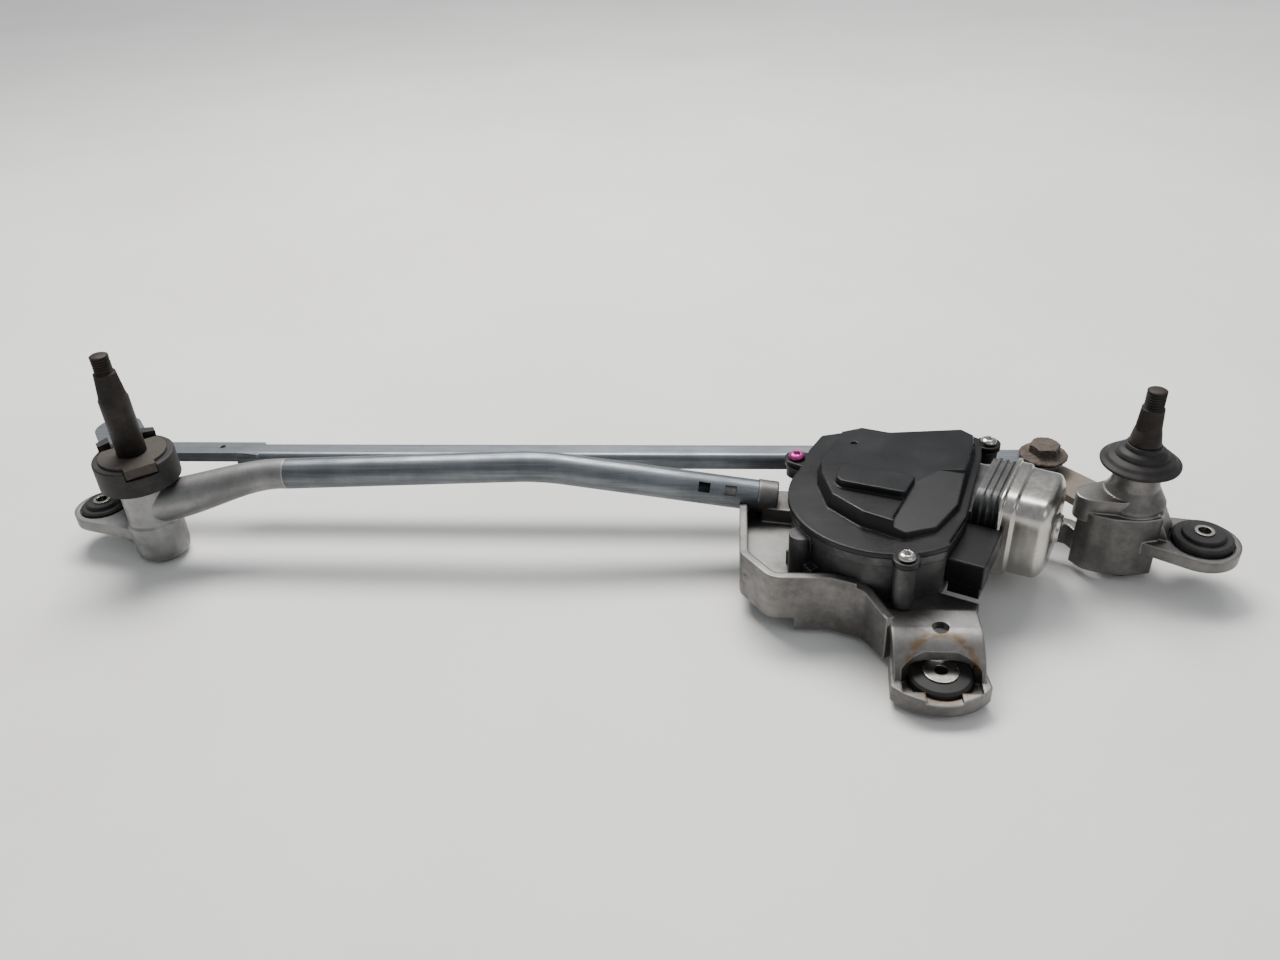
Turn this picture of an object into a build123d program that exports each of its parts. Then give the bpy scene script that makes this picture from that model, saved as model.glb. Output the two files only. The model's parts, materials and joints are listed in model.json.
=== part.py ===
from build123d import *
import os
from math import cos, radians, sin

# Front wiper drive: a tube frame with a cast pivot at each end, a reversing
# gear motor on a cast bracket, and the levers and links that it moves.
# Millimetres. +X runs from the left pivot to the right one, +Z is up along the
# wiper spindles, and the origin is on the resting plane, midway in both widths.

# ---- driving dimensions -------------------------------------------------
SPINDLE_SPAN = 557.4        # between the two spindle axes
MIDDLE_X = 1.1              # middle of the spindle span
SPINDLE_Y = 33.4            # line through both spindle axes
LEVER_RADIUS = 58.5         # spindle axis to link pin, the same on every lever
PARKED_ANGLE = 127.0        # direction of the levers at rest, from +X
SWEEP = 80.0                # turn of a lever from parked to the far end
MOTOR_YAW = -25.0           # motor axis, from +X
MOTOR_AT = (143.5, -21.0)   # output axis, from the middle of the spindle span
FOOT_AT = (164.0, -107.0)   # front grommet, from the same middle

RUN_GAP = 0.04              # radial play of a running fit
FREE_GAP = 0.4              # gap between parts that pass each other
SHAFT_R = 7.0               # spindle journal
STUD_R = 3.5                # link stud neck
BALL_R = 5.0                # link ball
TUBE_R = 8.9                # frame tube, outside
TUBE_WALL = 1.2
GROMMET_BOLT_R = 3.3        # clearance for an M6 bolt

LEFT_SPINDLE_TOP = 133.0
RIGHT_SPINDLE_TOP = 110.5
CRANK_Z = 15.0              # underside of the motor crank
CRANK_T = 4.5
LOW_BALL_Z = 9.5            # ball under the motor crank
HIGH_BALL_Z = 20.0          # ball under the right lever
RIGHT_LEVER_Z = 30.0
RIGHT_LEVER_T = 4.5
LEFT_LEVER_Z = 56.0
LEFT_LEVER_T = 4.5
ROD_Z = 36.5                # underside of the long rod's channel
ROD_H = 9.0
ROD_W = 15.0
PLATE_Z = 22.0              # underside of the bracket plate
PLATE_T = 4.0
RIM_Z = 38.0                # top of the bracket wall
FLANGE_Z = 54.0             # gear housing's top face
COVER_RIM_T = 4.0
PLATEAU_Z = 66.0            # flat top of the cover
PAD_Z = 70.0
MOTOR_Z = 39.5              # motor axis
CAN_HALF = 24.5             # half the height of the motor can
WORM_OFFSET = 37.4          # worm axis to output axis
WHEEL_R = 30.6
WORM_R = 6.3


def spot(x, y, z=0.0):
    """A point given from the middle of the spindle span."""
    return (MIDDLE_X + x, SPINDLE_Y + y, z)


def toward(angle, radius):
    """The point at a radius and an angle in degrees from +X."""
    return (radius * cos(radians(angle)), radius * sin(radians(angle)))


LEFT = Plane(origin=spot(-SPINDLE_SPAN / 2, 0))
RIGHT = Plane(origin=spot(SPINDLE_SPAN / 2, 0))
BED = Plane(origin=spot(0, 0))
CRANK = Plane(origin=spot(*MOTOR_AT))
FOOT = Plane(origin=spot(*FOOT_AT))
PIN = toward(PARKED_ANGLE, LEVER_RADIUS)
LEFT_EAR = (-39.5, 14.5)
RIGHT_EAR = (34.8, -16.5)


def shifted(base, x, y, z=0.0):
    """A plane parallel to base with its origin at a local point."""
    return Plane(origin=base.from_local_coords((x, y, z)), x_dir=base.x_dir, z_dir=base.z_dir)


def turned_plane(base, angle):
    """The plane base with its x axis turned to an angle in degrees from +X."""
    return Plane(origin=base.origin, x_dir=(*toward(angle, 1), 0), z_dir=(0, 0, 1))


def upright(base):
    """The plane through base's origin whose local x is base's x and local y is up."""
    return Plane(origin=base.origin, x_dir=base.x_dir, z_dir=-base.y_dir)


MOTOR = turned_plane(CRANK, MOTOR_YAW)


def facing_axis(x=0.0, y=0.0, z=0.0):
    """A plane across the motor axis, at a local point of MOTOR, with local y up."""
    origin = MOTOR.from_local_coords((x, y, z))
    return Plane(origin=origin, x_dir=MOTOR.y_dir, z_dir=MOTOR.x_dir)


def outline(plane, points):
    """A closed polygon on a plane."""
    with BuildSketch(plane) as sketch:
        with BuildLine():
            Polyline(*points, close=True)
        make_face()
    return sketch.sketch


def turned(base, points, mode=Mode.ADD):
    """Revolve a profile of (radius, height) points about base's Z axis."""
    profile = outline(upright(base), points)
    revolve(profile, axis=Axis(base.origin, base.z_dir), mode=mode)


def disc(base, x, y, low, high, outer, inner=0.0, mode=Mode.ADD):
    """A plain or pierced disc between two heights."""
    with BuildSketch(shifted(base, x, y, low)) as sketch:
        Circle(outer)
        if inner:
            Circle(inner, mode=Mode.SUBTRACT)
    extrude(sketch.sketch, amount=high - low, mode=mode)


def slab(base, points, low, high, mode=Mode.ADD, corner=0.0, taper=0.0):
    """An upright prism on a polygon, with its corners rounded if asked."""
    with BuildSketch(base.offset(low)) as sketch:
        with BuildLine():
            Polyline(*points, close=True)
        make_face()
        if corner:
            fillet(sketch.vertices(), corner)
    extrude(sketch.sketch, amount=high - low, mode=mode, taper=taper)


def hull_slab(base, circles, low, high, mode=Mode.ADD):
    """An upright prism on the hull of circles given as (x, y, radius)."""
    with BuildSketch(base.offset(low)) as sketch:
        for x, y, radius in circles:
            with Locations((x, y)):
                Circle(radius)
        make_hull()
    extrude(sketch.sketch, amount=high - low, mode=mode)


def round_loft(stations):
    """Loft through circles given as (point, direction, radius)."""
    sections = []
    for point, direction, radius in stations:
        with BuildSketch(Plane(origin=point, z_dir=direction)) as section:
            Circle(radius)
        sections.append(section.sketch)
    loft(sections)


def save(builder, name, shade):
    """Label a finished part and write its file."""
    builder.part.label = name
    builder.part.color = Color(shade)
    export_step(builder.part, "parts/" + name + ".step")


os.makedirs("parts", exist_ok=True)

# ---- left pivot: cast housing, bushes, plug, grommet ----------------------
TUBE_START = spot(-195.0, 10.0, 50.8)
TUBE_BEND = spot(-46.0, 12.0, 55.6)
TUBE_END = spot(77.5, 10.0, 37.6)
SPIGOT_R = TUBE_R - TUBE_WALL - 0.05
SPIGOT_L = 24.0
BARREL_TOP = 52.5
BUSH_OUT_R = 9.0
BUSH_L = 14.0

first_run = (Vector(*TUBE_BEND) - Vector(*TUBE_START)).normalized()
last_run = (Vector(*TUBE_END) - Vector(*TUBE_BEND)).normalized()

with BuildPart() as left_pivot_housing:
    turned(LEFT, [
        (0, 1), (10.8, 1), (14.6, 4), (15.4, 8), (15.4, 26), (14.2, 28), (14.0, BARREL_TOP), (0, BARREL_TOP),
    ])
    hull_slab(LEFT, [(*LEFT_EAR, 17.0), (0, 0, 13.0)], 17.0, 24.0)
    gusset = outline(upright(turned_plane(LEFT, 160)), [(8, 6), (14, 6), (34, 18), (8, 18)])
    extrude(gusset, amount=8, both=True)
    round_loft([
        (spot(-SPINDLE_SPAN / 2 + 2, 0, 37.0), (1, 0.02, 0.06), 12.6),
        (spot(-252.0, 2.5, 41.0), (1, 0.16, 0.20), 11.6),
        (spot(-226.0, 7.5, 47.0), (1, 0.16, 0.18), 9.8),
        (TUBE_START, first_run, TUBE_R),
    ])
    with BuildSketch(Plane(origin=Vector(*TUBE_START) - first_run, z_dir=first_run)):
        Circle(SPIGOT_R)
    extrude(amount=SPIGOT_L)
    disc(LEFT, 0, 0, 0.5, BARREL_TOP + 1, BUSH_OUT_R, mode=Mode.SUBTRACT)
    disc(LEFT, *LEFT_EAR, 15, 26, 9.6, mode=Mode.SUBTRACT)
    disc(LEFT, *LEFT_EAR, 22.4, 26, 14.0, mode=Mode.SUBTRACT)
    disc(LEFT, *LEFT_EAR, 5, 17.0, 15.5, mode=Mode.SUBTRACT)
save(left_pivot_housing, "left_pivot_housing", "lightgray")

with BuildPart() as left_shaft_bushes:
    for low in (8.0, BARREL_TOP - BUSH_L):
        disc(LEFT, 0, 0, low, low + BUSH_L, BUSH_OUT_R, SHAFT_R + RUN_GAP)
save(left_shaft_bushes, "left_shaft_bushes", "darkgoldenrod")

with BuildPart() as left_end_plug:
    turned(LEFT, [(0, 0), (9.6, 0), (10.2, 0.5), (10.2, 1), (8.9, 1), (8.9, 5), (7.4, 5), (7.4, 2.2), (0, 2.2)])
save(left_end_plug, "left_end_plug", "black")


def grommet(base, low, plate_low, plate_high, high, neck, skirt, head):
    """A rubber bush: a neck through the plate between two flanges, bored for its sleeve."""
    turned(base, [
        (4.55, low), (skirt - 1, low), (skirt, low + 1), (skirt, plate_low), (neck, plate_low),
        (neck, plate_high), (head, plate_high), (head, high - 3.4), (head - 1.2, high - 2.4),
        (head * 0.72, high - 2.2), (head * 0.70, high - 0.4), (head * 0.66, high), (4.55, high),
    ])


def sleeve(base, low, high, flange):
    """A flanged steel spacer for an M6 bolt."""
    turned(base, [
        (GROMMET_BOLT_R, low), (4.55, low), (4.55, high - 0.8), (flange, high - 0.8),
        (flange, high), (GROMMET_BOLT_R, high),
    ])


left_ear = shifted(LEFT, *LEFT_EAR)
right_ear = shifted(RIGHT, *RIGHT_EAR)

with BuildPart() as left_mount_grommet:
    grommet(left_ear, 12.0, 17.0, 22.4, 28.4, 9.6, 12.4, 13.2)
save(left_mount_grommet, "left_mount_grommet", "dimgray")

with BuildPart() as left_mount_sleeve:
    sleeve(left_ear, 12.0, 29.2, 5.0)
save(left_mount_sleeve, "left_mount_sleeve", "silver")

# ---- frame tube -----------------------------------------------------------
with BuildPart() as frame_tube:
    with BuildLine() as tube_line:
        FilletPolyline(TUBE_START, TUBE_BEND, TUBE_END, radius=160)
    for radius, mode in ((TUBE_R, Mode.ADD), (TUBE_R - TUBE_WALL, Mode.SUBTRACT)):
        with BuildSketch(Plane(origin=TUBE_START, z_dir=first_run)):
            Circle(radius)
        sweep(path=tube_line.line, mode=mode)
    window_face = Plane(origin=TUBE_END, x_dir=last_run, z_dir=Vector(0, -0.8, 0.6))
    for along in (-30.0, -15.0):
        with BuildSketch(shifted(window_face, along, 0).offset(TUBE_R / 2)):
            Rectangle(6.5, 5.6)
        extrude(amount=TUBE_R, mode=Mode.SUBTRACT)
save(frame_tube, "frame_tube", "slategray")

# ---- motor bracket: plate, wall, front foot, arm and right pivot -----------
RIGHT_BARREL_LOW = 36.0
RIGHT_BARREL_TOP = 66.0
RING_TOP = 14.0
swing = [toward(PARKED_ANGLE - SWEEP * step / 4, LEVER_RADIUS) for step in range(5)]

SCREW_R = 2.5
MOUNT_SCREWS = [(98.5, -45.5), (163.5, -55.6), (180.9, -14.4)]

plate_points = [
    (69.5, 10), (69.5, -48), (83, -63), (118, -64), (134, -74), (142, -84), (184, -84), (189, -64),
    (193, -50), (194, -38), (185.3, -28.3), (207.7, 19.7), (207, 31), (196, 36), (150, 30), (112, 30), (92, 18),
]
wall_path = [(80, 13.5), (69.6, 6), (69.6, -44), (84, -63.5), (114, -63.5), (131, -70), (141.5, -86)]

with BuildPart() as motor_bracket:
    slab(BED, plate_points, PLATE_Z, PLATE_Z + PLATE_T)
    with BuildSketch(BED.offset(11.0)):
        with BuildLine() as wall_line:
            FilletPolyline(*wall_path, radius=9)
        trace(line_width=4.2)
    extrude(amount=RIM_Z - 11.0)
    with BuildSketch(BED.offset(4.0)):
        with BuildLine():
            FilletPolyline((96, -63.5), (114, -63.5), (131, -70), (141.5, -86), radius=9)
        trace(line_width=4.2)
    extrude(amount=10.0)
    # the wall comes down towards the foot
    side = turned_plane(shifted(BED, 160, 0), 90)
    lowered = outline(upright(side), [(-90, 29.5), (-84, 30), (-60, 39), (-60, 45), (-90, 45)])
    extrude(lowered, amount=34, both=True, mode=Mode.SUBTRACT)
    # tube socket boss with its spigot
    with BuildSketch(Plane(origin=TUBE_END, z_dir=last_run)):
        Circle(TUBE_R + 0.6)
    extrude(amount=11.0)
    with BuildSketch(Plane(origin=TUBE_END, z_dir=-last_run)):
        Circle(TUBE_R + FREE_GAP)
    extrude(amount=SPIGOT_L, mode=Mode.SUBTRACT)
    with BuildSketch(Plane(origin=Vector(*TUBE_END) + last_run, z_dir=-last_run)):
        Circle(SPIGOT_R)
    extrude(amount=SPIGOT_L)
    slab(BED, [(80, 19), (80, 1), (98, -2), (100, 18)], PLATE_Z, 35.0)
    # front foot: a shoulder that curves down to a flat pad round the grommet
    with BuildSketch(upright(turned_plane(shifted(BED, 141, 0), 90))):
        with BuildLine():
            Polyline((-78, 24.5), (-78, 29), (-92, 29))
            ThreePointArc((-92, 29), (-104, 24.4), (-113, 14.0))
            Polyline((-113, 14.0), (-113, 8.0), (-107, 12.0))
            ThreePointArc((-107, 12.0), (-100, 20.6), (-91, 24.5))
            Line((-91, 24.5), (-78, 24.5))
        make_face()
    extrude(amount=43.5)
    with BuildSketch(BED.offset(4.0)):
        with BuildLine():
            Polyline((187, -116), (185, -96), (141, -96), (139.5, -116))
            ThreePointArc((139.5, -116), (163.5, -127), (187, -116))
        make_face()
    extrude(amount=9.0)
    disc(FOOT, 0, 0, 3, 19, 15.6, mode=Mode.SUBTRACT)
    with BuildSketch(BED.offset(9.0)):
        with Locations((163.5, -132)):
            Circle(29)
        with Locations((163.5, -112)):
            Rectangle(38, 16, mode=Mode.INTERSECT)
    extrude(amount=20, mode=Mode.SUBTRACT)
    slab(BED, [(155, -130), (155, -118), (172, -118), (172, -130)], 10.8, 14, mode=Mode.SUBTRACT)
    disc(BED, 165.0, -91.0, 20, 32, 4.0, mode=Mode.SUBTRACT)
    # rib that carries the arm round the end of the motor
    with BuildSketch(BED.offset(13.0)):
        with BuildLine():
            FilletPolyline((197, 28.5), (237, 10), (251, 2), (256, -10), (266, -14), (279, -16), radius=5)
        trace(line_width=6.0)
    extrude(amount=13.0)
    with BuildSketch(BED.offset(6.0)):
        with BuildLine():
            FilletPolyline((253, -4), (257, -11), (266, -15), (279, -16.5), (290, -14), radius=4)
        trace(line_width=6.0)
    extrude(amount=36.0)
    # arm and right pivot barrel
    hull_slab(BED, [(255.5, -4, 7.5), (270, -2.5, 11.5)], 36.0, 50.0)
    turned(RIGHT, [
        (0, 6), (15.5, 6), (17.5, 12), (17.5, 45), (12.6, 54), (12.0, 58),
        (12.0, RIGHT_BARREL_TOP), (0, RIGHT_BARREL_TOP),
    ])
    disc(RIGHT, 0, 0, 0, RING_TOP, 12.2)
    hull_slab(RIGHT, [(*RIGHT_EAR, 19.5), (4, -4, 13.0)], 21.0, 28.0)
    gusset = outline(upright(turned_plane(RIGHT, -25)), [(6, 21), (23, 21), (23, 28), (14, 46), (6, 50)])
    extrude(gusset, amount=9, both=True)
    # clear the lever's sweep, then bore for the shaft, bushes and grommet
    swept = [(0, 0, 16.0)] + [(x, y, 14.5) for x, y in swing]
    hull_slab(RIGHT, swept, RING_TOP, RIGHT_BARREL_LOW, mode=Mode.SUBTRACT)
    disc(RIGHT, 0, 0, -1, RIGHT_BARREL_TOP + 1, BUSH_OUT_R, mode=Mode.SUBTRACT)
    disc(RIGHT, *RIGHT_EAR, 15, 30, 11.0, mode=Mode.SUBTRACT)
    disc(RIGHT, *RIGHT_EAR, 26.4, 30, 16.2, mode=Mode.SUBTRACT)
    disc(RIGHT, *RIGHT_EAR, 12, 21.0, 17.0, mode=Mode.SUBTRACT)
    # output boss and three motor screws through the plate
    disc(MOTOR, 0, 0, PLATE_Z - 1, PLATE_Z + PLATE_T + 1, 12.5, mode=Mode.SUBTRACT)
    for x, y in MOUNT_SCREWS:
        disc(BED, x, y, PLATE_Z - 1, PLATE_Z + PLATE_T + 1, SCREW_R + 0.3, mode=Mode.SUBTRACT)
    # a notch lets the loom's plug up to the socket
    notch = [(39.4, -25.5), (66, -25.5), (66, -2.5), (39.4, -2.5)]
    slab(MOTOR, notch, PLATE_Z - 1, PLATE_Z + PLATE_T + 1, mode=Mode.SUBTRACT)
save(motor_bracket, "motor_bracket", "gray")

with BuildPart() as right_shaft_bushes:
    disc(RIGHT, 0, 0, RIGHT_BARREL_LOW, RIGHT_BARREL_LOW + BUSH_L, BUSH_OUT_R, SHAFT_R + RUN_GAP)
    disc(RIGHT, 0, 0, 3.0, RING_TOP, BUSH_OUT_R, SHAFT_R + RUN_GAP)
save(right_shaft_bushes, "right_shaft_bushes", "darkgoldenrod")

with BuildPart() as right_mount_grommet:
    grommet(right_ear, 17.0, 21.0, 26.4, 34.0, 11.0, 14.4, 15.5)
save(right_mount_grommet, "right_mount_grommet", "dimgray")

with BuildPart() as right_mount_sleeve:
    sleeve(right_ear, 17.0, 34.8, 5.0)
save(right_mount_sleeve, "right_mount_sleeve", "silver")

with BuildPart() as foot_grommet:
    turned(FOOT, [
        (4.55, 0), (12.6, 0), (13.4, 1), (13.4, 3.4), (15.5, 4.2), (15.5, 12.6), (14.2, 14), (9.4, 14.6),
        (4.55, 14.6),
    ])
save(foot_grommet, "foot_grommet", "dimgray")

with BuildPart() as foot_sleeve:
    sleeve(FOOT, 0.0, 15.4, 8.6)
save(foot_sleeve, "foot_sleeve", "silver")

# ---- gear housing with its motor nose -------------------------------------
CUP_R = 48.0
CUP_WALL = 3.0
CUP_FLOOR = 4.0
HOUSING_LOW = PLATE_Z + PLATE_T
COVER_SCREWS = [(99.5, 18.0), (148.2, -74.3), (207.9, 34.3)]
COVER_LOW = FLANGE_Z + 0.8
COVER_TOP = FLANGE_Z + COVER_RIM_T
cover_points = [
    (100, 5), (107, 26), (115, 42), (137, 48), (152, 42), (195, 46), (205, 38), (201.5, 20),
    (183, -38), (171, -60), (148, -70), (143, -21),
]


right_side = [(204.7, 30), (183, -38), (171, -60), (171, -90), (260, -90), (260, 30)]


def trimmed_circle(radius, inset):
    """A circle about the output axis, cut straight where the motor and its socket sit."""
    with Locations(MOTOR_AT):
        Circle(radius - inset)
    with BuildSketch(mode=Mode.PRIVATE) as beyond:
        with BuildLine():
            Polyline(*right_side, close=True)
        make_face()
        if inset:
            offset(amount=inset, kind=Kind.INTERSECTION)
    add(beyond.sketch, mode=Mode.SUBTRACT)


def cup_outline(plane, inset=0.0):
    """The plan shape of the gear cup's wall, or of its hollow."""
    with BuildSketch(plane) as sketch:
        trimmed_circle(CUP_R, inset)
    return sketch.sketch


def cover_outline(plane, inset=0.0, tabs=True):
    """The plan shape that cover, gasket and housing flange share."""
    with BuildSketch(plane) as sketch:
        trimmed_circle(50.5, inset)
        with BuildSketch(mode=Mode.PRIVATE) as corner_block:
            with BuildLine():
                Polyline(*cover_points, close=True)
            make_face()
            fillet(corner_block.vertices().sort_by(Axis.Y)[-6:], 3.0)
            if inset:
                offset(amount=-inset)
        add(corner_block.sketch)
        if tabs:
            with Locations(*COVER_SCREWS):
                Circle(6.8 - inset)
    return sketch.sketch


NOSE_FRONT = 43.0
NOSE_BACK = 56.0
NOSE_HALF = 23.5


def motor_block(low, high, half, corner, mode=Mode.ADD, centre_z=MOTOR_Z):
    """A rounded square block along the motor axis between two stations."""
    with BuildSketch(facing_axis(low, WORM_OFFSET, centre_z)) as sketch:
        RectangleRounded(2 * half, 2 * half, corner)
    extrude(sketch.sketch, amount=high - low, mode=mode)


def motor_round(low, high, outer, inner=0.0, mode=Mode.ADD):
    """A disc or ring about the motor axis between two stations."""
    with BuildSketch(facing_axis(low, WORM_OFFSET, MOTOR_Z)) as sketch:
        Circle(outer)
        if inner:
            Circle(inner, mode=Mode.SUBTRACT)
    extrude(sketch.sketch, amount=high - low, mode=mode)


with BuildPart() as gear_housing:
    extrude(cup_outline(BED.offset(HOUSING_LOW)), amount=FLANGE_Z - HOUSING_LOW)
    extrude(cover_outline(BED.offset(FLANGE_Z - 5), 1.2), amount=5)
    extrude(cup_outline(BED.offset(HOUSING_LOW + CUP_FLOOR), CUP_WALL), amount=FLANGE_Z, mode=Mode.SUBTRACT)
    motor_round(-27.0, NOSE_FRONT, 10.4)
    slab(MOTOR, [(28, 13.4), (NOSE_FRONT, 13.4), (NOSE_FRONT, 61.4), (28, 61.4)], HOUSING_LOW, 53.0)
    motor_block(NOSE_FRONT, NOSE_BACK, NOSE_HALF, 9.0)
    for along in (46.0, 49.5, 53.0):
        motor_block(along, along + 1.2, NOSE_HALF + 0.9, 9.5)
    disc(MOTOR, 0, 0, PLATE_Z - 1.5, 34.0, 12.0)
    for x, y in COVER_SCREWS:
        disc(BED, x, y, 47.2, FLANGE_Z, 5.6)
    hull_slab(BED, [(*COVER_SCREWS[0], 5.6), (112, 10, 8)], 47.2, FLANGE_Z)
    disc(BED, *COVER_SCREWS[1], 30.0, FLANGE_Z, 5.6)
    disc(BED, *MOUNT_SCREWS[0], HOUSING_LOW, FLANGE_Z - 2.5, 5.8)
    slab(BED, [(92, -38), (104, -56), (112, -48), (102, -36)], HOUSING_LOW, HOUSING_LOW + 9)
    for x, y in MOUNT_SCREWS[1:]:
        disc(BED, x, y, HOUSING_LOW, 33.0, 5.4)
    motor_round(-24.0, NOSE_FRONT + 1, WORM_R + 1.3, mode=Mode.SUBTRACT)
    motor_round(NOSE_FRONT + 1, NOSE_BACK + 1, 20.6, mode=Mode.SUBTRACT)
    disc(MOTOR, 0, 0, 34.0, FLANGE_Z + 1, WHEEL_R + 1.2, mode=Mode.SUBTRACT)
    slab(MOTOR, [(30, -14), (CUP_R, -14), (CUP_R, 8), (30, 8)], 38.0, 46.0, mode=Mode.SUBTRACT)
    disc(MOTOR, 0, 0, PLATE_Z - 3, 36.0, BUSH_OUT_R, mode=Mode.SUBTRACT)
    for x, y in COVER_SCREWS:
        disc(BED, x, y, 44.0, FLANGE_Z + 1, 2.0, mode=Mode.SUBTRACT)
    for x, y in MOUNT_SCREWS:
        disc(BED, x, y, HOUSING_LOW - 1, 31.5, SCREW_R, mode=Mode.SUBTRACT)
save(gear_housing, "gear_housing", "darkgray")

with BuildPart() as output_shaft_bush:
    disc(MOTOR, 0, 0, PLATE_Z - 1.5, 34.0, BUSH_OUT_R, 6.0 + RUN_GAP)
save(output_shaft_bush, "output_shaft_bush", "darkgoldenrod")

with BuildPart() as motor_mount_screws:
    for x, y in MOUNT_SCREWS:
        disc(BED, x, y, PLATE_Z, 30.5, SCREW_R)
        with BuildSketch(shifted(BED, x, y, PLATE_Z - 3.4)) as head:
            RegularPolygon(4.6, 6)
        extrude(head.sketch, amount=3.4)
save(motor_mount_screws, "motor_mount_screws", "silver")

# ---- cover, gasket, circuit board, connector --------------------------------
plateau_points = [
    (110, 4), (109, -9), (113, -31), (128, -48), (149, -60), (166, -53), (180, -34), (197.5, 18), (200, 30),
    (193, 38), (152, 34.5), (137, 40), (124, 35),
]
COVER_WALL = 2.2

# what the cover's sunken front right corner leaves out, above a sloping floor
with BuildPart() as shelf_cut:
    slab(BED, [
        (144, -50), (140, -85), (200, -85), (215, -20), (194, -7), (171, -7), (160, -17),
    ], COVER_TOP, PAD_Z)
    shelf_floor = outline(upright(turned_plane(shifted(BED, 158, -20), -50)), [
        (-30, PLATEAU_Z), (0, PLATEAU_Z), (32, COVER_TOP + 2.5), (70, COVER_TOP + 2.5), (70, COVER_LOW),
        (-30, COVER_LOW),
    ])
    extrude(shelf_floor, amount=70, both=True, mode=Mode.SUBTRACT)

with BuildPart() as gear_cover:
    extrude(cover_outline(BED.offset(COVER_LOW)), amount=COVER_TOP - COVER_LOW)
    hull_slab(BED, [(*COVER_SCREWS[0], 6.8), (112, 12, 8)], COVER_LOW, COVER_TOP)
    slab(BED, plateau_points, COVER_TOP, PLATEAU_Z, corner=3.0, taper=16)
    with BuildSketch(turned_plane(shifted(BED, 138.4, -20.5, PLATEAU_Z), -19)):
        RectangleRounded(41, 19, 6.5)
    extrude(amount=PAD_Z - PLATEAU_Z, taper=6)
    add(shelf_cut.part, mode=Mode.SUBTRACT)
    recess = cover_outline(BED.offset(COVER_LOW), 3.4, tabs=False)
    extrude(recess, amount=COVER_TOP - COVER_LOW - 1.6, mode=Mode.SUBTRACT)
    slab(BED, [
        (116, 8), (115, -20), (122, -38), (140, -44), (155, -12), (170, 0), (188, 0), (193, 15), (191, 33),
        (122, 30),
    ], COVER_TOP - 2, PLATEAU_Z - COVER_WALL, mode=Mode.SUBTRACT, taper=14)
    for x, y in COVER_SCREWS:
        disc(BED, x, y, COVER_LOW - 1, COVER_TOP + 1, 2.3, mode=Mode.SUBTRACT)
        disc(BED, x, y, COVER_TOP, PLATEAU_Z + 1, 6.0, mode=Mode.SUBTRACT)
    disc(BED, 131.0, 20.4, PLATEAU_Z - 1.2, PLATEAU_Z + 1, 1.8, mode=Mode.SUBTRACT)
save(gear_cover, "gear_cover", "dimgray")

with BuildPart() as cover_gasket:
    extrude(cover_outline(BED.offset(FLANGE_Z), 1.4, tabs=False), amount=0.8)
    extrude(cover_outline(BED.offset(FLANGE_Z), 3.4, tabs=False), amount=0.8, mode=Mode.SUBTRACT)
    for x, y in COVER_SCREWS:
        disc(BED, x, y, FLANGE_Z, FLANGE_Z + 1, 3.0, mode=Mode.SUBTRACT)
save(cover_gasket, "cover_gasket", "black")

with BuildPart() as cover_screws:
    for x, y in COVER_SCREWS:
        seat = shifted(BED, x, y)
        turned(seat, [
            (0, 46), (2.0, 46), (2.0, COVER_TOP), (4.6, COVER_TOP), (4.6, COVER_TOP + 1.4),
            (3.6, COVER_TOP + 2.8), (0, COVER_TOP + 3.2),
        ])
        with BuildSketch(seat.offset(COVER_TOP + 1.6)) as recess:
            Circle(1.5)
            with PolarLocations(1.6, 6):
                Circle(0.45)
        extrude(recess.sketch, amount=3, mode=Mode.SUBTRACT)
save(cover_screws, "cover_screws", "silver")

BOARD_TOP = COVER_TOP - 1.6
with BuildPart() as circuit_board:
    slab(BED, [
        (120, 10), (120, -16), (128, -40), (154, -44), (174, -30), (186, 4), (188, 28), (126, 26),
    ], BOARD_TOP - 1.5, BOARD_TOP)
    for x, y, size in [(132, 12, 9), (158, 16, 12), (136, -24, 9), (176, 14, 7)]:
        slab(shifted(BED, x, y), [(0, 0), (size, 0), (size, size), (0, size)], BOARD_TOP, BOARD_TOP + 3)
save(circuit_board, "circuit_board", "darkgreen")

# the socket hangs beside the gear cup and takes the loom's plug from below
SOCKET_LEFT, SOCKET_RIGHT = 34.0, 60.5
SOCKET_FRONT, SOCKET_BACK = -24.6, 10.2
SOCKET_LOW, SOCKET_TOP = 34.0, 48.0
SHROUD_LOW = 27.0
PIN_TOP = 45.0
with BuildPart() as connector_housing:
    slab(MOTOR, [
        (SOCKET_LEFT, SOCKET_FRONT), (SOCKET_RIGHT, SOCKET_FRONT), (SOCKET_RIGHT, SOCKET_BACK),
        (SOCKET_LEFT, SOCKET_BACK),
    ], SOCKET_LOW, SOCKET_TOP)
    fillet(connector_housing.edges().filter_by(Axis.Z), 0.8)
    extrude(cup_outline(BED.offset(SOCKET_LOW - 1)), amount=20, mode=Mode.SUBTRACT)
    slab(MOTOR, [(43.4, -23.4), (59.4, -23.4), (59.4, -4.2), (43.4, -4.2)], SHROUD_LOW, SOCKET_LOW)
    slab(MOTOR, [(37, -14), (46, -14), (46, 8), (37, 8)], 38.0, 46.0)
    slab(MOTOR, [(45, -21.8), (57.8, -21.8), (57.8, -6), (45, -6)], SHROUD_LOW - 1, PIN_TOP, mode=Mode.SUBTRACT)
    slab(MOTOR, [(48, -7), (54, -7), (54, -5.2), (48, -5.2)], SHROUD_LOW - 1, PIN_TOP, mode=Mode.SUBTRACT)
save(connector_housing, "connector_housing", "black")

with BuildPart() as connector_terminals:
    for across in (-17.0, -10.6):
        for along in (46.6, 50.6, 54.6):
            slab(shifted(MOTOR, along, across), [(0, 0), (1.2, 0), (1.2, 1.2), (0, 1.2)], SOCKET_LOW, PIN_TOP)
save(connector_terminals, "connector_terminals", "gold")

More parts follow.
